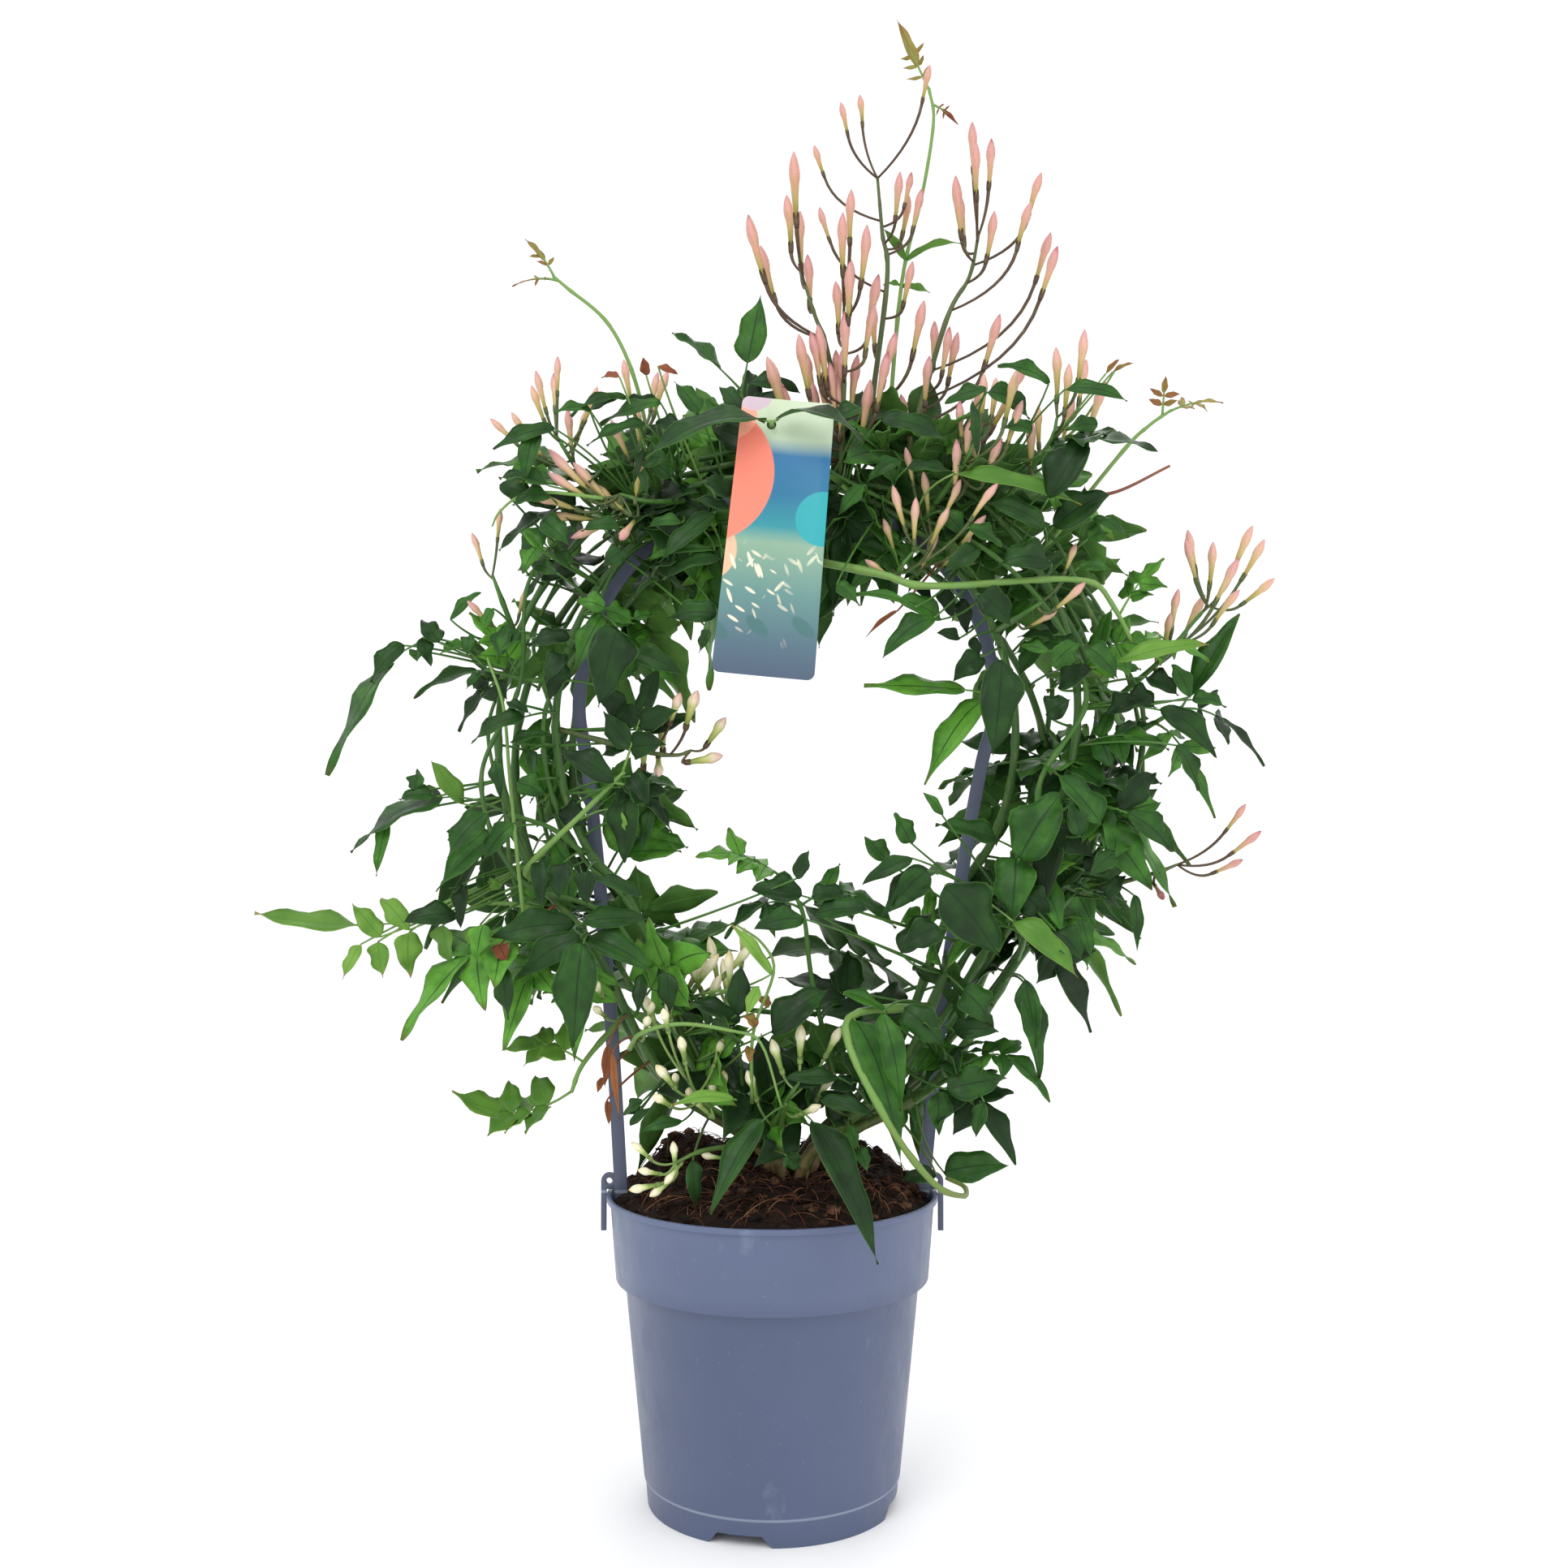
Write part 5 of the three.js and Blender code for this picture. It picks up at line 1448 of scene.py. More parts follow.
total = 0
for n, (name, curve) in enumerate(VINES.items()):
    growth = Growth("foliage_" + name, [LEAF, SHADED_UNDERSIDE, STEM])
    joints = int(curve.length() / PAIR_EVERY)
    for j in range(3, joints):
        for side in (0, 1):
            k = 100 * n + 2 * j + side
            turn = radians(90 * (j % 2) + 180 * side + 50 * (noise(k, 1, 1) - 0.5) + 20 * n)
            leaf = pair_leaf(curve, j / joints, turn, k)
            bare = share_bare(curve.at(j / joints)[0])
            if leaf is None or noise(k, 9, 1) < bare:
                continue
            add_leaf(growth, leaf)
            total += 1
    growth.piece("leaves")
print("grew", total, "leaves along the vines")

# %% [markdown]
# ## Runners
#
# Besides the eight main vines, a wreath like this has several thinner runners that were tucked
# in as it grew. They leave the crown, follow the ring loosely, and show as bright green stems
# between the leaves.

# %% Grow the runners
RUNNERS = [  # side, end angle, outwards, depth, thickness
    (-1, 126, 10, -24, 1.5), (-1, 140, 24, 10, 1.2), (-1, 96, -10, -18, 1.3), (-1, 120, 6, 28, 1.5),
    (1, 60, 22, -14, 1.7), (1, 84, -2, -26, 1.8), (1, 50, 30, 8, 1.3), (1, 76, 14, 26, 1.6),
]


def runner_curve(side, end, outwards, depth, k):
    """A loose curve from the crown along the ring to an end angle."""
    start = TWINE[side][0]
    count = max(4, round(abs(end - start) / 18))
    ring = []
    for i in range(count + 1):
        astray = 22 * (noise(k, i, 21) - 0.5), 14 * (noise(k, i, 22) - 0.5)
        grown = min(1.0, 0.3 + i / 3)
        angle = mix(start, end, i / count)
        ring.append(ring_point(angle, outwards * grown + astray[0], depth * grown + astray[1]))
    base = vec(CROWN["x"] + side * 6, CROWN["y"] + depth * 0.25, CROWN["z"] - 6)
    shoulder = base + (ring[0] - base) * vec(0.5, 0.6, 0.4) + UP * 4
    return Through([base, base + UP * 16 + vec(side * 4, 0, 0), shoulder] + ring)


growth = Growth("runner_stems", [VINE, STEM])
for k, (side, end, outwards, depth, thick) in enumerate(RUNNERS):
    curve = runner_curve(side, end, outwards, depth, k)
    growth.stem(curve, (thick, 0.7), sides=8, rings=110, kind=k % 2, knots=0.35)
growth.piece("vines")
print("grew", len(RUNNERS), "runners")

# %% [markdown]
# ## The leaves on show
#
# The largest leaflets of a climber turn their faces to the light in front of the tangle, and
# the eye takes them for the whole plant. They are placed one by one here. A row gives the foot
# and the tip (x and z), the width and the depth in millimetres, and the tone in tenths.

# %% The rows of single leaflets
DARK_LEAVES = [
    (-45, 454, -70, 446, 8, -44, 5), (-59, 456, -81, 448, 6, -43, 4), (-73, 450, -87, 448, 5, -46, 5),
    (-87, 442, -111, 433, 7, -50, 4), (-94, 443, -99, 418, 8, -49, 4), (-51, 445, -74, 435, 8, -45, 4),
    (-29, 449, -39, 462, 9, -48, 5), (-12, 448, -21, 461, 7, -47, 2), (-23, 409, -45, 388, 9, -43, 3),
    (-17, 411, -31, 415, 5, -42, 3), (-17, 415, -27, 424, 8, -45, 3), (-41, 425, -52, 434, 9, -36, 5),
    (-52, 426, -50, 415, 4, -46, 4), (-52, 436, -56, 419, 3, -42, 2), (-89, 419, -109, 422, 8, -49, 4),
    (-89, 415, -104, 412, 8, -47, 5), (-92, 393, -101, 402, 6, -46, 8), (-92, 406, -81, 395, 10, -46, 4),
    (-82, 389, -90, 396, 6, -37, 4), (-94, 394, -99, 383, 8, -48, 7), (-86, 384, -98, 388, 6, -49, 4),
    (-67, 370, -78, 373, 8, -47, 7), (-67, 370, -56, 365, 9, -42, 7), (-56, 367, -48, 369, 5, -38, 5),
    (-68, 368, -78, 344, 9, -44, 6), (-61, 361, -69, 330, 19, -52, 2), (-57, 353, -36, 344, 9, -41, 3),
    (-22, 368, -42, 366, 10, -46, 3), (-25, 361, -29, 352, 5, -51, 5), (-113, 371, -117, 361, 5, -39, 6),
    (-103, 362, -111, 352, 9, -37, 5), (-83, 360, -99, 357, 6, -37, 2), (-84, 352, -90, 340, 9, -43, 2),
    (-59, 393, -67, 386, 8, -50, 3), (-61, 404, -77, 402, 6, -42, 4), (-20, 391, -44, 382, 8, -43, 3),
    (-36, 405, -50, 404, 5, -44, 5), (-23, 394, -51, 391, 4, -43, 5), (36, 450, 21, 441, 8, -51, 3),
    (44, 446, 72, 437, 10, -47, 2), (55, 428, 74, 426, 7, -41, 4), (52, 431, 39, 423, 6, -40, 5),
    (86, 458, 70, 453, 7, -49, 5), (88, 460, 106, 450, 9, -37, 4), (111, 460, 90, 466, 7, -50, 5),
    (117, 457, 141, 451, 6, -52, 5), (131, 444, 118, 442, 7, -46, 5), (82, 431, 81, 454, 4, -51, 4),
    (106, 444, 93, 444, 7, -38, 5), (111, 414, 129, 439, 16, -49, 2), (110, 403, 85, 413, 10, -45, 3),
    (115, 405, 137, 417, 14, -36, 3), (37, 420, 27, 408, 6, -45, 6), (79, 402, 92, 394, 8, -51, 5),
    (69, 411, 80, 400, 8, -38, 5), (83, 394, 69, 384, 8, -48, 3), (111, 389, 91, 387, 14, -48, 2),
    (123, 386, 135, 384, 6, -50, 6), (129, 400, 137, 402, 8, -37, 6), (130, 407, 144, 399, 6, -42, 4),
    (26, 379, 35, 370, 7, -50, 6), (65, 366, 44, 350, 10, -48, 5), (57, 370, 27, 374, 4, -51, 6),
    (83, 375, 96, 363, 12, -51, 2), (112, 347, 123, 356, 9, -51, 6), (111, 353, 101, 356, 5, -45, 7),
    (126, 355, 138, 341, 9, -47, 5), (-31, 151, -30, 131, 7, -50, 3), (0, 201, 23, 217, 14, -47, 2),
    (-13, 204, -36, 212, 9, -37, 2), (-14, 207, -12, 227, 9, -41, 2), (-42, 224, -41, 207, 9, -41, 3),
    (-52, 223, -54, 207, 6, -38, 2), (44, 209, 51, 171, 10, -51, 6), (29, 216, 47, 208, 6, -40, 7),
    (53, 210, 69, 195, 13, -46, 4), (103, 218, 108, 181, 10, -37, 4), (70, 178, 94, 181, 13, -46, 4),
    (67, 175, 68, 158, 10, -36, 5), (84, 174, 81, 159, 6, -51, 4), (77, 217, 88, 203, 14, -43, 4),
    (74, 200, 91, 200, 9, -37, 3), (27, 182, 5, 182, 7, -41, 2), (20, 174, 40, 169, 6, -48, 3),
    (66, 243, 52, 234, 12, -51, 2), (-36, 164, -52, 160, 5, -38, 5), (-52, 172, -60, 165, 5, -37, 5),
    (-59, 298, -60, 268, 13, -37, 2), (-63, 300, -84, 312, 11, -52, 1), (-80, 243, -113, 238, 14, -36, 3),
    (-77, 238, -102, 220, 12, -42, 3), (-75, 236, -80, 194, 17, -47, 4), (-76, 244, -50, 245, 9, -42, 3),
    (-75, 238, -48, 224, 12, -37, 4), (-108, 227, -106, 205, 9, -42, 3), (-52, 255, -71, 262, 6, -50, 3),
    (-100, 327, -122, 316, 9, -39, 4), (-114, 288, -129, 270, 11, -46, 5), (-102, 300, -92, 295, 9, -44, 5),
    (-103, 284, -116, 269, 9, -47, 5), (-93, 269, -92, 250, 8, -42, 2), (-83, 268, -85, 253, 10, -47, 2),
    (-73, 265, -74, 251, 9, -49, 2), (-116, 243, -119, 228, 9, -41, 9), (-57, 303, -49, 291, 10, -38, 2),
    (-49, 291, -53, 271, 6, -37, 3), (13, 246, -7, 242, 9, -50, 3), (12, 255, -8, 257, 12, -44, 2),
    (16, 255, 31, 255, 8, -49, 3), (18, 248, 40, 249, 9, -49, 3), (10, 262, 15, 273, 6, -49, 3),
    (56, 276, 49, 288, 9, -44, 5), (46, 269, 38, 278, 9, -37, 5), (68, 287, 60, 296, 4, -50, 6),
    (63, 265, 44, 247, 13, -44, 3), (92, 349, 89, 311, 17, -49, 2), (69, 259, 91, 231, 23, -49, 2),
    (99, 270, 96, 243, 17, -37, 6), (99, 270, 116, 296, 20, -46, 5), (132, 284, 113, 305, 14, -44, 5),
    (134, 283, 153, 257, 14, -38, 6), (143, 288, 162, 273, 11, -44, 4), (92, 277, 66, 283, 11, -36, 4),
    (102, 221, 106, 192, 10, -39, 4), (158, 330, 181, 311, 10, -36, 3), (162, 315, 171, 297, 8, -47, 3),
    (146, 255, 146, 233, 5, -40, 3), (62, 265, 47, 249, 11, -48, 3), (56, 270, 36, 259, 7, -50, 3),
    (52, 232, 66, 249, 11, -41, 2), (169, 335, 162, 348, 7, -41, 6), (170, 334, 184, 331, 7, -39, 6),
    (123, 279, 118, 293, 9, -49, 4), (137, 272, 126, 263, 8, -46, 3), (101, 256, 112, 244, 13, -38, 2),
    (123, 246, 127, 231, 7, -49, 4), (113, 241, 123, 230, 12, -49, 3), (-153, 358, -167, 343, 9, -21, 3),
    (-148, 356, -147, 351, 6, -21, 6), (-138, 359, -146, 369, 9, -24, 2), (-145, 361, -142, 349, 7, -24, 3),
    (-134, 369, -121, 380, 5, -20, 6), (-128, 358, -139, 355, 5, -22, 7), (-126, 362, -126, 353, 6, -21, 5),
    (-121, 346, -127, 340, 4, -22, 4), (-147, 298, -146, 306, 9, -25, 4), (-159, 285, -163, 262, 6, -22, 7),
    (-139, 295, -154, 294, 7, -24, 4), (-127, 288, -127, 266, 6, -24, 6),
    (-129, 246, -151, 244, 10, -25, 2), (-127, 259, -127, 241, 7, -27, 1),
    (-122, 261, -117, 259, 8, -24, 6), (71, 140, 98, 143, 13, -20, 5), (-112, 309, -110, 294, 6, -38, 4),
    (-98, 314, -96, 301, 5, -36, 4), (-88, 290, -77, 283, 11, -14, 1), (-107, 333, -97, 328, 5, -40, 2),
    (-106, 317, -90, 320, 5, -36, 4), (-112, 353, -105, 365, 9, -34, 4), (-82, 359, -99, 356, 8, -38, 1),
    (-86, 351, -91, 334, 10, -32, 1), (-60, 317, -71, 312, 9, -24, 1), (-68, 339, -60, 324, 10, -24, 1),
    (-60, 324, -51, 328, 8, -26, 3), (-52, 323, -32, 328, 11, -24, 2), (5, 180, 24, 179, 8, -36, 1),
    (20, 174, 41, 166, 7, -34, 1), (67, 141, 53, 138, 7, -30, 1), (6, 153, 11, 147, 7, -52, 4),
    (-53, 169, -60, 165, 5, -34, 3), (-57, 162, -49, 169, 4, -36, 4), (31, 163, 34, 154, 5, -44, 5),
    (35, 154, 38, 145, 6, -42, 5), (127, 265, 139, 270, 9, -36, 1), (136, 254, 144, 263, 6, -34, 2),
    (141, 290, 157, 305, 11, -36, 1), (147, 335, 137, 328, 10, -34, 1), (146, 337, 157, 331, 10, -32, 1),
    (154, 344, 166, 336, 9, -30, 1), (111, 328, 120, 334, 11, -40, 1), (116, 339, 129, 346, 9, -40, 1),
    (-74, 452, -61, 456, 6, -40, 4), (-59, 451, -46, 457, 8, -38, 2), (-10, 470, 12, 467, 8, -12, 2),
    (-111, 422, -93, 414, 10, -36, 2), (-102, 391, -89, 407, 10, -32, 4), (-52, 431, -41, 430, 9, -42, 4),
    (-47, 446, -34, 444, 7, -40, 2), (69, 367, 49, 374, 9, -36, 6), (86, 352, 74, 342, 10, -30, 2),
    (78, 361, 68, 363, 5, -22, 1), (71, 383, 76, 369, 7, -14, 0), (79, 378, 82, 363, 7, -14, 0),
    (58, 386, 70, 376, 7, -12, 0), (85, 341, 92, 337, 6, -26, 1), (83, 361, 87, 353, 5, -16, 1),
]
BRIGHT_LEAVES = [
    (73, 424, 125, 412, 8, -48, 1), (96, 245, 121, 223, 10, -49, 2), (-15, 174, -40, 173, 5, -46, 7),
    (0, 224, -16, 244, 5, -49, 8), (-5, 219, -10, 208, 5, -50, 8), (137, 348, 174, 355, 7, -47, 5),
    (-162, 237, -174, 251, 9, -22, 5), (-150, 240, -163, 253, 9, -22, 6), (-170, 234, -176, 220, 6, -22, 8),
    (-163, 235, -161, 220, 9, -22, 5), (-150, 239, -150, 220, 11, -22, 5),
    (-136, 242, -134, 224, 10, -22, 4), (-121, 242, -122, 223, 9, -20, 5),
    (-128, 292, -141, 310, 8, -20, 2), (-113, 260, -116, 256, 6, -22, 5), (-64, 290, -58, 279, 4, -36, 6),
    (58, 528, 83, 537, 4, 4, 2), (56, 517, 68, 513, 4, 4, 2), (56, 517, 48, 518, 3, 4, 3),
    (58, 528, 48, 540, 4, 4, 3),
]
BRONZE_LEAVES = [
    (-1, 210, -6, 215, 5, -37, 5), (-6, 203, -11, 207, 5, -44, 5), (-9, 194, -9, 188, 4, -40, 5),
    (139, 468, 147, 471, 2, -38, 5), (136, 467, 141, 472, 2, -39, 5), (-51, 466, -52, 472, 4, -40, 2),
    (-46, 469, -38, 466, 3, -43, 2), (-61, 463, -69, 464, 3, -49, 2),
]
DRIED_LEAVES = [
    (-65, 196, -67, 178, 4, -46, 3), (-63, 193, -60, 167, 3, -49, 6), (-68, 181, -70, 176, 3, -37, 5),
    (-66, 173, -65, 163, 3, -40, 4), (51, 370, 38, 359, 2, -40, 5), (-110, 235, -106, 228, 7, -38, 3),
]
print("rows of leaflets:", sum(map(len, (DARK_LEAVES, BRIGHT_LEAVES, BRONZE_LEAVES, DRIED_LEAVES))))

# %% Grow the single leaflets
ON_SHOOT = 480  # above this height a leaflet sits on the young shoot, with no stalk of its own


def grow_single(growth, row, k):
    """One leaflet on its own stalk, from the nearest vine to the place in the row."""
    x, z, tip_x, tip_z, width, depth, tone = row
    base = vec(x, depth, z)
    tip = vec(tip_x, depth - 6 + 12 * noise(k, 1, 31), tip_z)
    sag = (0.08 + 0.14 * noise(k, 3, 31)) * np.linalg.norm(tip - base)
    curve = Bow(base, (base + tip) / 2 + vec(0, -1.4 * sag, sag), tip)
    facing = unit(vec(0.9 * (noise(k, 2, 31) - 0.5), -1, 0.2 + 0.5 * noise(k, 4, 31)))
    length = curve.length()
    fold, twist = 0.1 + 0.35 * noise(k, 5, 31), 0.9 * (noise(k, 6, 31) - 0.5)
    place, own, faces, sides = leaflet(length, width, fold, 0.0, 0.11, twist, k, fine=True)
    own = own.copy()
    own[:, 2] = tone / 10
    growth.add(bend(place, curve, length, facing), faces, own, sides)
    if z > ON_SHOOT:
        return
    root = nearest_spot(base)
    pull = mix(root, base, 0.6) - 0.2 * (tip - base)
    growth.stem(Bow(root, pull, base), (0.65, 0.4), sides=5, rings=8, kind=2)


for word, rows, finishes, slot in (
    ("dark", DARK_LEAVES, [LEAF, SHADED_UNDERSIDE, STEM], "leaves"),
    ("bright", BRIGHT_LEAVES, [YOUNG, YOUNG_BACK, FRESH_STEM], "leaves_young"),
    ("bronze", BRONZE_LEAVES, [BRONZE, BRONZE, FRESH_STEM], "leaves_young"),
    ("dried", DRIED_LEAVES, [DRIED, DRIED, RED_STEM], "leaves"),
):
    growth = Growth("single_leaves_" + word, finishes)
    for k, row in enumerate(rows):
        grow_single(growth, row, k)
    growth.piece(slot)
    print("placed", len(rows), word, "leaflets")


# %% [markdown]
# ## Loose stems
#
# A few bare stems stand out from the tangle: a dry one and a young one at the right shoulder, a
# slender one down the left side, an arched one at the left shoulder, and two over the pot.

# %% Grow the loose stems
LOOSE_STEMS = {  # finish, radius at both ends, route
    "stem_dry": (RED_STEM, (0.9, 0.6), [(128, -6, 424), (146, -7, 425), (169, -8, 436)]),
    "stem_shoulder": (FRESH_STEM, (0.8, 0.4), [(112, -12, 440), (128, -18, 450), (141, -34, 470)]),
    "stem_slender": (
        FRESH_STEM, (0.9, 0.6),
        [(-100, -24, 236), (-102, -31, 252), (-107, -32, 302), (-110, -31, 332), (-117, -29, 352)],
    ),
    "stem_curved": (
        FRESH_STEM, (1.1, 0.5),
        [(-58, -30, 192), (-52, -42, 200), (-36, -46, 204), (-15, -46, 201), (-4, -46, 196), (4, -46, 171)],
    ),
    "stem_arched": (
        FRESH_STEM, (0.8, 0.35),
        [(-68, -44, 415), (-90, -46, 417), (-102, -46, 415), (-110, -44, 409), (-113, -42, 404)],
    ),
    "stem_young": (
        FRESH_STEM, (0.5, 0.8),
        [(-14, -42, 243), (-4, -42, 236), (1, -42, 225), (-6, -42, 205), (-8, -40, 193), (-8, -30, 170)],
    ),
}
for name, (bark, radius, route) in LOOSE_STEMS.items():
    growth = Growth(name, [bark])
    growth.stem(Through(route), radius)
    growth.piece("vines")
print("grew", len(LOOSE_STEMS), "loose stems")

# %% [markdown]
# ## The pot
#
# A nursery pot is injection-moulded: one thin wall, a deep collar under the rim for stacking, a
# faint ledge where the two halves of the mould meet, and feet with gaps that let water out.
# Its half outline is spun round the pot's axis. Four gaps are then cut through the foot ring,
# and a small bevel rounds every hard corner, because moulded plastic has no sharp edges.

# %% Helpers for moulded parts
def mesh_of(name, bm):
    """A mesh from a bmesh, which is then freed."""
    mesh = bpy.data.meshes.new(name)
    bm.to_mesh(mesh)
    bm.free()
    return mesh


def placed(name, mesh, *materials):
    """An object for a mesh that is already in place."""
    piece = bpy.data.objects.new(name, mesh)
    bpy.context.collection.objects.link(piece)
    for material in materials:
        mesh.materials.append(material)
    return piece


def thicken(bm, depth):
    """Extrudes a flat bmesh by a depth along z."""
    made = bmesh.ops.extrude_face_region(bm, geom=bm.faces[:])
    top = [v for v in made["geom"] if isinstance(v, bmesh.types.BMVert)]
    bmesh.ops.translate(bm, verts=top, vec=(0, 0, depth))
    bmesh.ops.recalc_face_normals(bm, faces=bm.faces)


def prism(outline, depth):
    """A bmesh of an outline of (x, y) in millimetres, from z 0 up to depth."""
    bm = bmesh.new()
    bm.faces.new([bm.verts.new((x, y, 0)) for x, y in outline])
    thicken(bm, depth)
    return bm


def apply_modifiers(piece):
    """Bakes a piece's modifiers into its mesh."""
    graph = bpy.context.evaluated_depsgraph_get()
    mesh = bpy.data.meshes.new_from_object(piece.evaluated_get(graph))
    piece.modifiers.clear()
    piece.data = mesh


def shade(piece, degrees_sharp=35):
    """Smooth shading, with edges sharper than the angle kept crisp."""
    piece.data.shade_smooth()
    piece.data.set_sharp_from_angle(angle=radians(degrees_sharp))


# %% Spin the pot's outline and cut the gaps
RIM, RIM_HEIGHT, FOOT = 70, 128, 52.4  # the rim's radius and height, and the foot's radius
POT_SIDES = 128
GAP_SHAPE = [(-14, -1), (14, -1), (9, 4.6), (-9, 4.6)]  # wider at the ground
GAP_DEPTH, GAP_INSIDE, FIRST_GAP = 14, 11, -14  # mm, mm within the foot's radius, degrees
POT_OUTLINE = [
    (0, 0), (11, 0), (11, 5), (47.9, 5), (47.9, 0), (52.4, 0), (53.3, 10.6), (53.9, 11),
    (62.2, 93.4), (66, 93.4), (68.4, 125.4), (70, 125.7), (70, 128), (68.4, 128),
    (67.2, 125.4), (64.8, 94.8), (61, 94.6), (52.7, 12), (51.3, 6.2), (0, 6.2),
]


def foot_gap(i):
    """A trapezoid block through the foot ring, as an object for the cut."""
    bm = prism(GAP_SHAPE, GAP_DEPTH)
    turn = Matrix.Rotation(radians(FIRST_GAP + 90 * i), 4, "Z")
    place = Matrix.Translation((0, GAP_INSIDE - FOOT, 0)) @ Matrix.Rotation(pi / 2, 4, "X")
    bmesh.ops.transform(bm, matrix=Matrix.Scale(MM, 4) @ turn @ place, verts=bm.verts)
    return placed(f"foot_gap_{i}", mesh_of("foot_gap", bm))


points, faces = spun(POT_OUTLINE, POT_SIDES)
mesh = bpy.data.meshes.new("moulded_pot")
mesh.from_pydata((points * MM).tolist(), [], faces)
pot = placed("moulded_pot", mesh, PLASTIC)
gaps = [foot_gap(i) for i in range(4)]
for gap in gaps:
    cut = pot.modifiers.new("gap", "BOOLEAN")
    cut.operation, cut.object, cut.solver = "DIFFERENCE", gap, "EXACT"
round_off = pot.modifiers.new("round_off", "BEVEL")
round_off.width, round_off.segments, round_off.limit_method = 0.35 * MM, 2, "ANGLE"
round_off.angle_limit = radians(24)
apply_modifiers(pot)
for gap in gaps:
    bpy.data.objects.remove(gap)
shade(pot)
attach(pot, "root")
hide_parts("pot")
print("the pot has", len(pot.data.polygons), "faces")

# %% [markdown]
# ## The hoop
#
# The hoop is a moulded strip with a T section: a flat band to the front and a rib behind it,
# so that it bends without kinking. Its section is extruded once, its long edges are bevelled,
# and it is then laid along the hoop's line from one foot over the arch to the other foot.
# A keyhole clip at each side grips the rim of the pot.

# %% Lay the strip along the hoop's line
FOOT_Z = 106  # how deep the hoop's feet reach into the peat
STRIP_RINGS = 150
T_SECTION = [
    (-2.8, -1.4), (2.8, -1.4), (2.8, 0), (0.9, 0), (0.9, 1.9), (-0.9, 1.9), (-0.9, 0), (-2.8, 0)
]


def hoop_curve():
    """The hoop's line, from one foot over the arch to the other."""

    def leg(side):
        rim, spring = leg_ends(side)
        sunk = [(rim - side * 2, FOOT_Z), (rim - side * 0.8, 121), (rim, LEG_FOOT)]
        slope = [(mix(rim, spring, s), z) for s, z in ((0.2, 190), (0.5, 256), (0.8, LEG_TOP))]
        return [vec(x, 0, z) for x, z in sunk + slope]

    turns = [radians(180 - 22.5 * i) for i in range(9)]
    arch = [vec(HOOP_X + HOOP_RADIUS * cos(a), 0, HOOP_Z + HOOP_RADIUS * sin(a)) for a in turns]
    return Through(leg(-1) + arch + leg(1)[::-1])


def bevelled(bm, edges, width):
    """Rounds some edges by a width."""
    bmesh.ops.bevel(
        bm, geom=edges, offset=width, segments=2, profile=0.5, affect="EDGES", material=-1
    )


bm = prism(T_SECTION, 1)
long_edges = [e for e in bm.edges if abs(e.verts[0].co.z - e.verts[1].co.z) > 0.5]
bevelled(bm, long_edges, 0.28)
slice_across(bm, 2, [ring / STRIP_RINGS for ring in range(1, STRIP_RINGS)])
flat, strip_faces = read(bm)
line = hoop_curve()
across = np.cross(vec(0, 1, 0), line.tangent(flat[:, 2]))
strip = line.at(flat[:, 2]) + across * flat[:, :1] + vec(0, 1, 0) * flat[:, 1:2]
print("the strip has", len(strip_faces), "faces over", round(line.length()), "mm")

# %% The clips, and the hoop as one piece
def plate(outline, hole, thickness, round_width):
    """A flat plate in x and y with a hole, centred on z 0, with rounded rims, as a bmesh."""
    bm = bmesh.new()
    edges = []
    for ring in (outline, hole):
        corners = [bm.verts.new((x, y, -thickness / 2)) for x, y in ring]
        edges += [bm.edges.new(pair) for pair in zip(corners, corners[1:] + corners[:1])]
    bmesh.ops.triangle_fill(bm, use_beauty=True, edges=edges, normal=(0, 0, -1))
    bmesh.ops.dissolve_limit(
        bm, angle_limit=0.01, verts=bm.verts, edges=bm.edges, use_dissolve_boundaries=False
    )
    thicken(bm, thickness)
    rims = [
        e for e in bm.edges
        if len(e.link_faces) == 2 and e.calc_face_angle() > 1.2
        and abs(e.verts[0].co.z - e.verts[1].co.z) < 1e-6
    ]
    bevelled(bm, rims, round_width)
    return bm


def arc(x, y, radius, start, end, steps):
    """Points of an arc, in degrees from start to end."""
    turns = [radians(mix(start, end, i / steps)) for i in range(steps + 1)]
    return [(x + radius * cos(a), y + radius * sin(a)) for a in turns]


HEAD, HEAD_HOLE = 3.5, 1.28  # the radii of a clip's ring and of its hole
PRONG, PRONG_END, CLIP_THICKNESS = 2.3, 111.5, 2.4  # the prong's width and its lower end


def clip(side):
    """A clip: a ring head beside the leg and a prong that hangs outside the rim."""
    prong, head = RIM + GAP, RIM_HEIGHT + GAP + HEAD + 0.6
    centre = prong + PRONG - HEAD
    outline = [(prong, PRONG_END), (prong + PRONG, PRONG_END)]
    outline += arc(centre, head, HEAD, 0, 180, 16)
    outline += [(LEG_X, head), (LEG_X, head - HEAD), (prong, head - HEAD)]
    bm = plate(outline, arc(centre, head, HEAD_HOLE, 0, 345, 23), CLIP_THICKNESS, 0.3)
    bmesh.ops.transform(bm, matrix=Matrix.Rotation(pi / 2, 4, "X"), verts=bm.verts)
    if side < 0:
        bmesh.ops.transform(bm, matrix=Matrix.Rotation(pi, 4, "Z"), verts=bm.verts)
    return read(bm)


growth = Growth("training_hoop", [HOOP_PLASTIC])
growth.add(strip, strip_faces)
for side in (-1, 1):
    growth.add(*clip(side))
hoop = growth.piece("plastic", "hoop")
shade(hoop)
print("the hoop has", len(hoop.data.polygons), "faces")
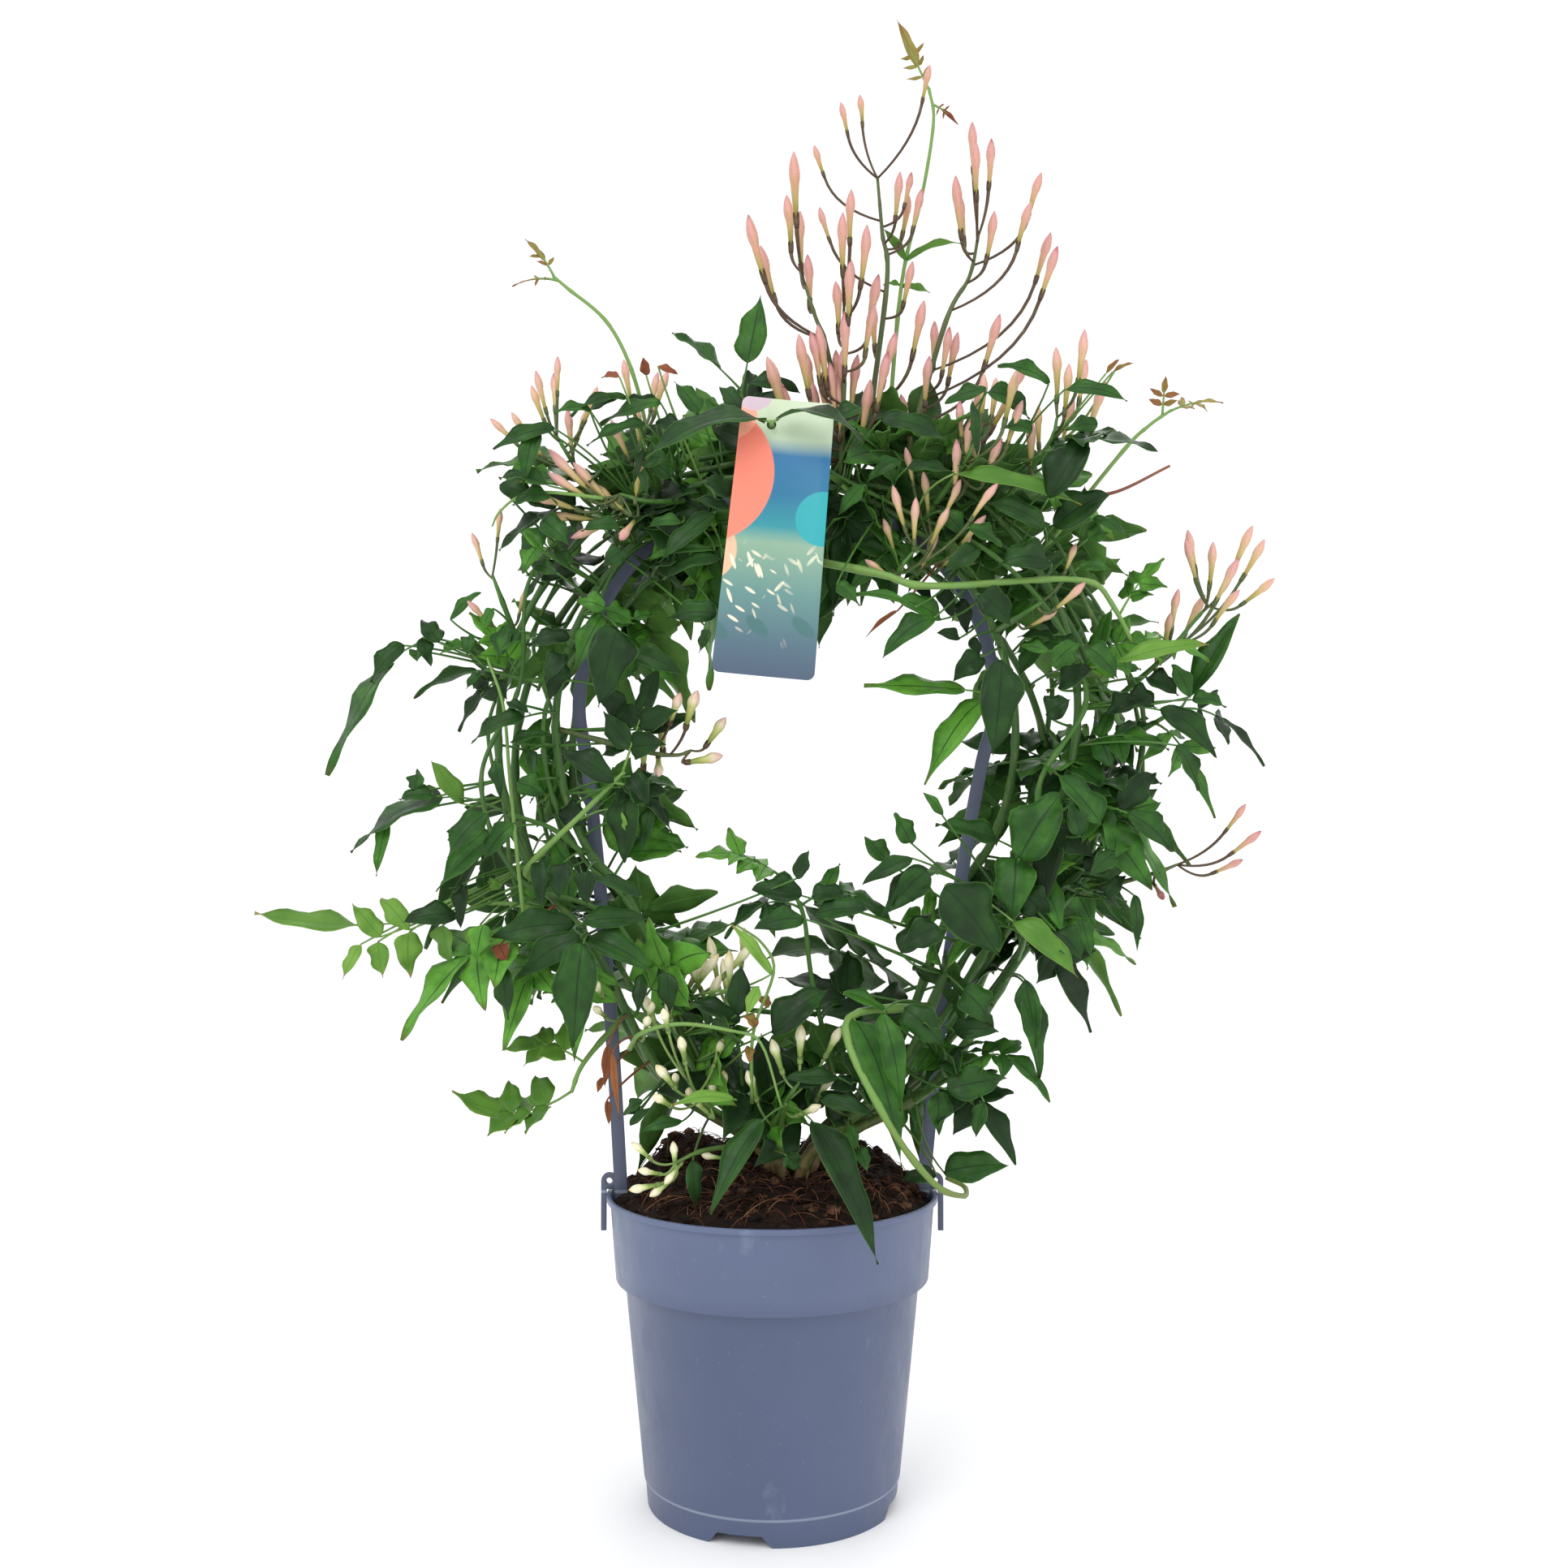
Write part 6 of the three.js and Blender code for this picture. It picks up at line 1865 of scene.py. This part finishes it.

# %% [markdown]
# ## The peat
#
# Potting peat is dark, crumbly and full of fibres, and it is heaped up to the crown. A spun
# mound would look like a dome, so its top is lifted and sunk by noise at three sizes, loose
# crumbs lie on it, and fibres stick out.

# %% The heap
HEAP_OUTLINE = [
    (0, 6.6), (49.6, 6.6), (52.2, 12), (60.5, 94.8), (64.3, 95.2), (66.6, 123), (66.2, 125.2)
]
HEAP_RINGS = 26
HEAP_RADIUS, HEAP_TOP, HEAP_FALL = 66, 138, 12  # the mound, which falls towards its edge
PEAT_EDGE = 67  # lumps flatten out towards this radius
BACK_HEAPS = ((-40, 15), (36, 12))  # x and height of two small heaps at the back
BACK_HEAP_Y, BACK_HEAP_REACH = 36, 25
LUMPS = ((17, 2.4), (8, 1.5), (3.2, 1.0))  # width and height
SURFACE = 125.6  # corners above this height lie on the surface


def mound(r):
    """The height of the plain mound at a distance from the pot's axis."""
    return HEAP_TOP - HEAP_FALL * (r / HEAP_RADIUS) ** 2


def peat_height(x, y):
    """The height of the peat's surface."""
    r = hypot(x, y)
    rise = mound(r)
    for heap_x, height in BACK_HEAPS:
        away = hypot(x - heap_x, y - BACK_HEAP_Y) / BACK_HEAP_REACH
        rise += height * exp(-(away**2)) * min(1.0, (PEAT_EDGE - r) / 7)
    lumps = 0.0
    for scale, size in LUMPS:
        lumps += size * mnoise.noise((x / scale, y / scale, size * 7))
    return rise + lumps * min(1.0, (PEAT_EDGE - r) / 6) * 1.2


radii = [HEAP_RADIUS * (1 - i / HEAP_RINGS) for i in range(1, HEAP_RINGS + 1)]
points, faces = spun(HEAP_OUTLINE + [(r, mound(r)) for r in radii], 96)
on_top = points[:, 2] > SURFACE
points[on_top, 2] = [peat_height(x, y) for x, y in points[on_top, :2]]
growth = Growth("peat_heap", [PEAT, CRUMB, FIBRE])
growth.add(points, faces)
print("the heap has", len(faces), "faces")

# %% Crumbs and fibres
CRUMBS, FIBRES = 900, 460
INNER_RIM = 68  # a fibre that would end beyond this radius lies the other way
bm = bmesh.new()
bmesh.ops.create_icosphere(bm, subdivisions=1, radius=1)
CRUMB_POINTS, CRUMB_FACES = read(bm)


def scatter(k, reach):
    """A place on the peat for the k-th loose thing."""
    r, a = reach * sqrt(noise(k, 1, 3)), 2 * pi * noise(k, 2, 3)
    x, y = r * cos(a), r * sin(a)
    return vec(x, y, peat_height(x, y))


for k in range(CRUMBS):
    size = 0.5 + 2.9 * noise(k, 3, 3) ** 3
    jag = 0.65 + 0.6 * np.array([noise(k, j, 4) for j in range(len(CRUMB_POINTS))])
    squash = vec(1, 0.55 + 0.5 * noise(k, 4, 3), 0.4 + 0.5 * noise(k, 5, 3))
    place = CRUMB_POINTS * jag[:, None] * squash * size + scatter(k, 65) + UP * size * 0.2
    tone = np.full((len(place), 3), noise(k, 6, 3))
    growth.add(place, CRUMB_FACES, tone, 1)
for k in range(FIBRES):
    start = scatter(k + CRUMBS, 64)
    heading = 2 * pi * noise(k, 7, 3)
    reach = vec(cos(heading), sin(heading), 0) * (5 + 18 * noise(k, 8, 3) ** 1.6)
    end = start + reach
    if hypot(end[0], end[1]) > INNER_RIM:
        end = start - reach
    end[2] = peat_height(end[0], end[1]) + 1.5 * noise(k, 9, 3)
    bow = Bow(start - UP * 0.3, (start + end) / 2 + UP * (2 + 5 * noise(k, 10, 3)), end)
    growth.stem(bow, (0.24, 0.1), sides=4, rings=6, kind=2, tone=noise(k, 11, 3) ** 2)
growth.piece("soil", "soil")
print("the peat has", growth.count, "corners")

# %% [markdown]
# ## The label
#
# A thin printed card hangs by its eye from a leafy shoot. It is a plate with round corners and
# a punched hole, bowed a little across its width as thin card is. Its print is made with nodes
# from plain bands of colour, and carries no words.

# %% The card
EYE_X, EYE_RADIUS = -6, 1.9
FOOT_WIDTH, TOP_WIDTH, CORNER = 41, 37, 3
LABEL_THICKNESS, LABEL_BOW = 0.6, 0.9


def label_half(z):
    """Half the label's width at a height."""
    return mix(FOOT_WIDTH, TOP_WIDTH, (z - LABEL_FOOT) / (LABEL_TOP - LABEL_FOOT)) / 2


outline = []
for turn, side, z in ((0, 1, LABEL_TOP), (90, -1, LABEL_TOP), (180, -1, LABEL_FOOT), (270, 1, LABEL_FOOT)):
    centre_z = z + (CORNER if z == LABEL_FOOT else -CORNER)
    outline += arc(side * (label_half(z) - CORNER), centre_z, CORNER, turn, turn + 90, 6)
bm = plate(outline, arc(EYE_X, 0, EYE_RADIUS, 0, 345, 23), LABEL_THICKNESS, 0.12)
slice_across(bm, 0, range(-17, 18, 2))
for vert in bm.verts:
    vert.co.z += LABEL_BOW * (vert.co.x / 20) ** 2 - LABEL_BOW / 3
place = Matrix.Translation(HOOK) @ Matrix.Rotation(radians(TILT), 4, "Y")
place = place @ Matrix.Rotation(pi / 2, 4, "X") @ Matrix.Translation((-EYE_X, 0, 0))
bmesh.ops.transform(bm, matrix=Matrix.Scale(MM, 4) @ place, verts=bm.verts)
mesh = mesh_of("hanging_label", bm)
label = placed("hanging_label", mesh, CARD)
shade(label, 30)
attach(label, "root")
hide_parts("label")
print("the label has", len(mesh.polygons), "faces")

# %% [markdown]
# ## Floor, light and camera
#
# The plant stands on a plain pale floor in soft studio light: a large key lamp in front and
# above, a wide fill from the other side, and a pale sky that keeps the shadows open.

# %% Floor and light
FLOOR_SIZE = 6  # metres from the middle to each side
LAMPS = [  # name, place and width in metres, power in watts
    ("key_lamp", (-0.6, -1.3, 1.5), 0.9, 10),
    ("fill_lamp", (1.3, -0.9, 0.9), 1.2, 3),
    ("back_lamp", (0.3, 1.4, 1.3), 1.0, 6),
]
MIDDLE = Vector((0, 0, 0.3))  # what the lamps face

paper = Finish("studio_floor", 0.9, Specular_IOR_Level=0.2)
paper.colour(paper.ramp(paper.spread(paper.grain(4, 3)), [(0.0, "f8f8f8"), (1.0, "fcfcfc")]))
bm = bmesh.new()
bmesh.ops.create_grid(bm, x_segments=4, y_segments=4, size=FLOOR_SIZE)
floor_sheet = placed("studio_floor", mesh_of("studio_floor", bm), paper.material)

sky = bpy.data.worlds.new("studio_sky")
sky.use_nodes = True
sky.node_tree.nodes["Background"].inputs["Color"].default_value = (1, 1, 1, 1)
sky.node_tree.nodes["Background"].inputs["Strength"].default_value = 1.1
bpy.context.scene.world = sky
bpy.context.scene.view_settings.view_transform = "Standard"

for name, place, size, power in LAMPS:
    data = bpy.data.lights.new(name, "AREA")
    data.shape, data.size, data.size_y, data.energy = "RECTANGLE", size, size, power
    lamp = bpy.data.objects.new(name, data)
    lamp.location = place
    lamp.rotation_euler = (MIDDLE - Vector(place)).to_track_quat("-Z", "Y").to_euler()
    bpy.context.collection.objects.link(lamp)
print("floor and", len(LAMPS), "lamps are set")

# %% Camera
view = bpy.data.cameras.new("front_view")
view.sensor_width, view.lens = 36, 38.41
eye = bpy.data.objects.new("front_view", view)
eye.location = (0.005, -0.7152, 0.2812)
eye.rotation_euler = (radians(91.58), 0, 0)
bpy.context.collection.objects.link(eye)
bpy.context.scene.camera = eye
print("camera at", [round(v, 4) for v in eye.location])
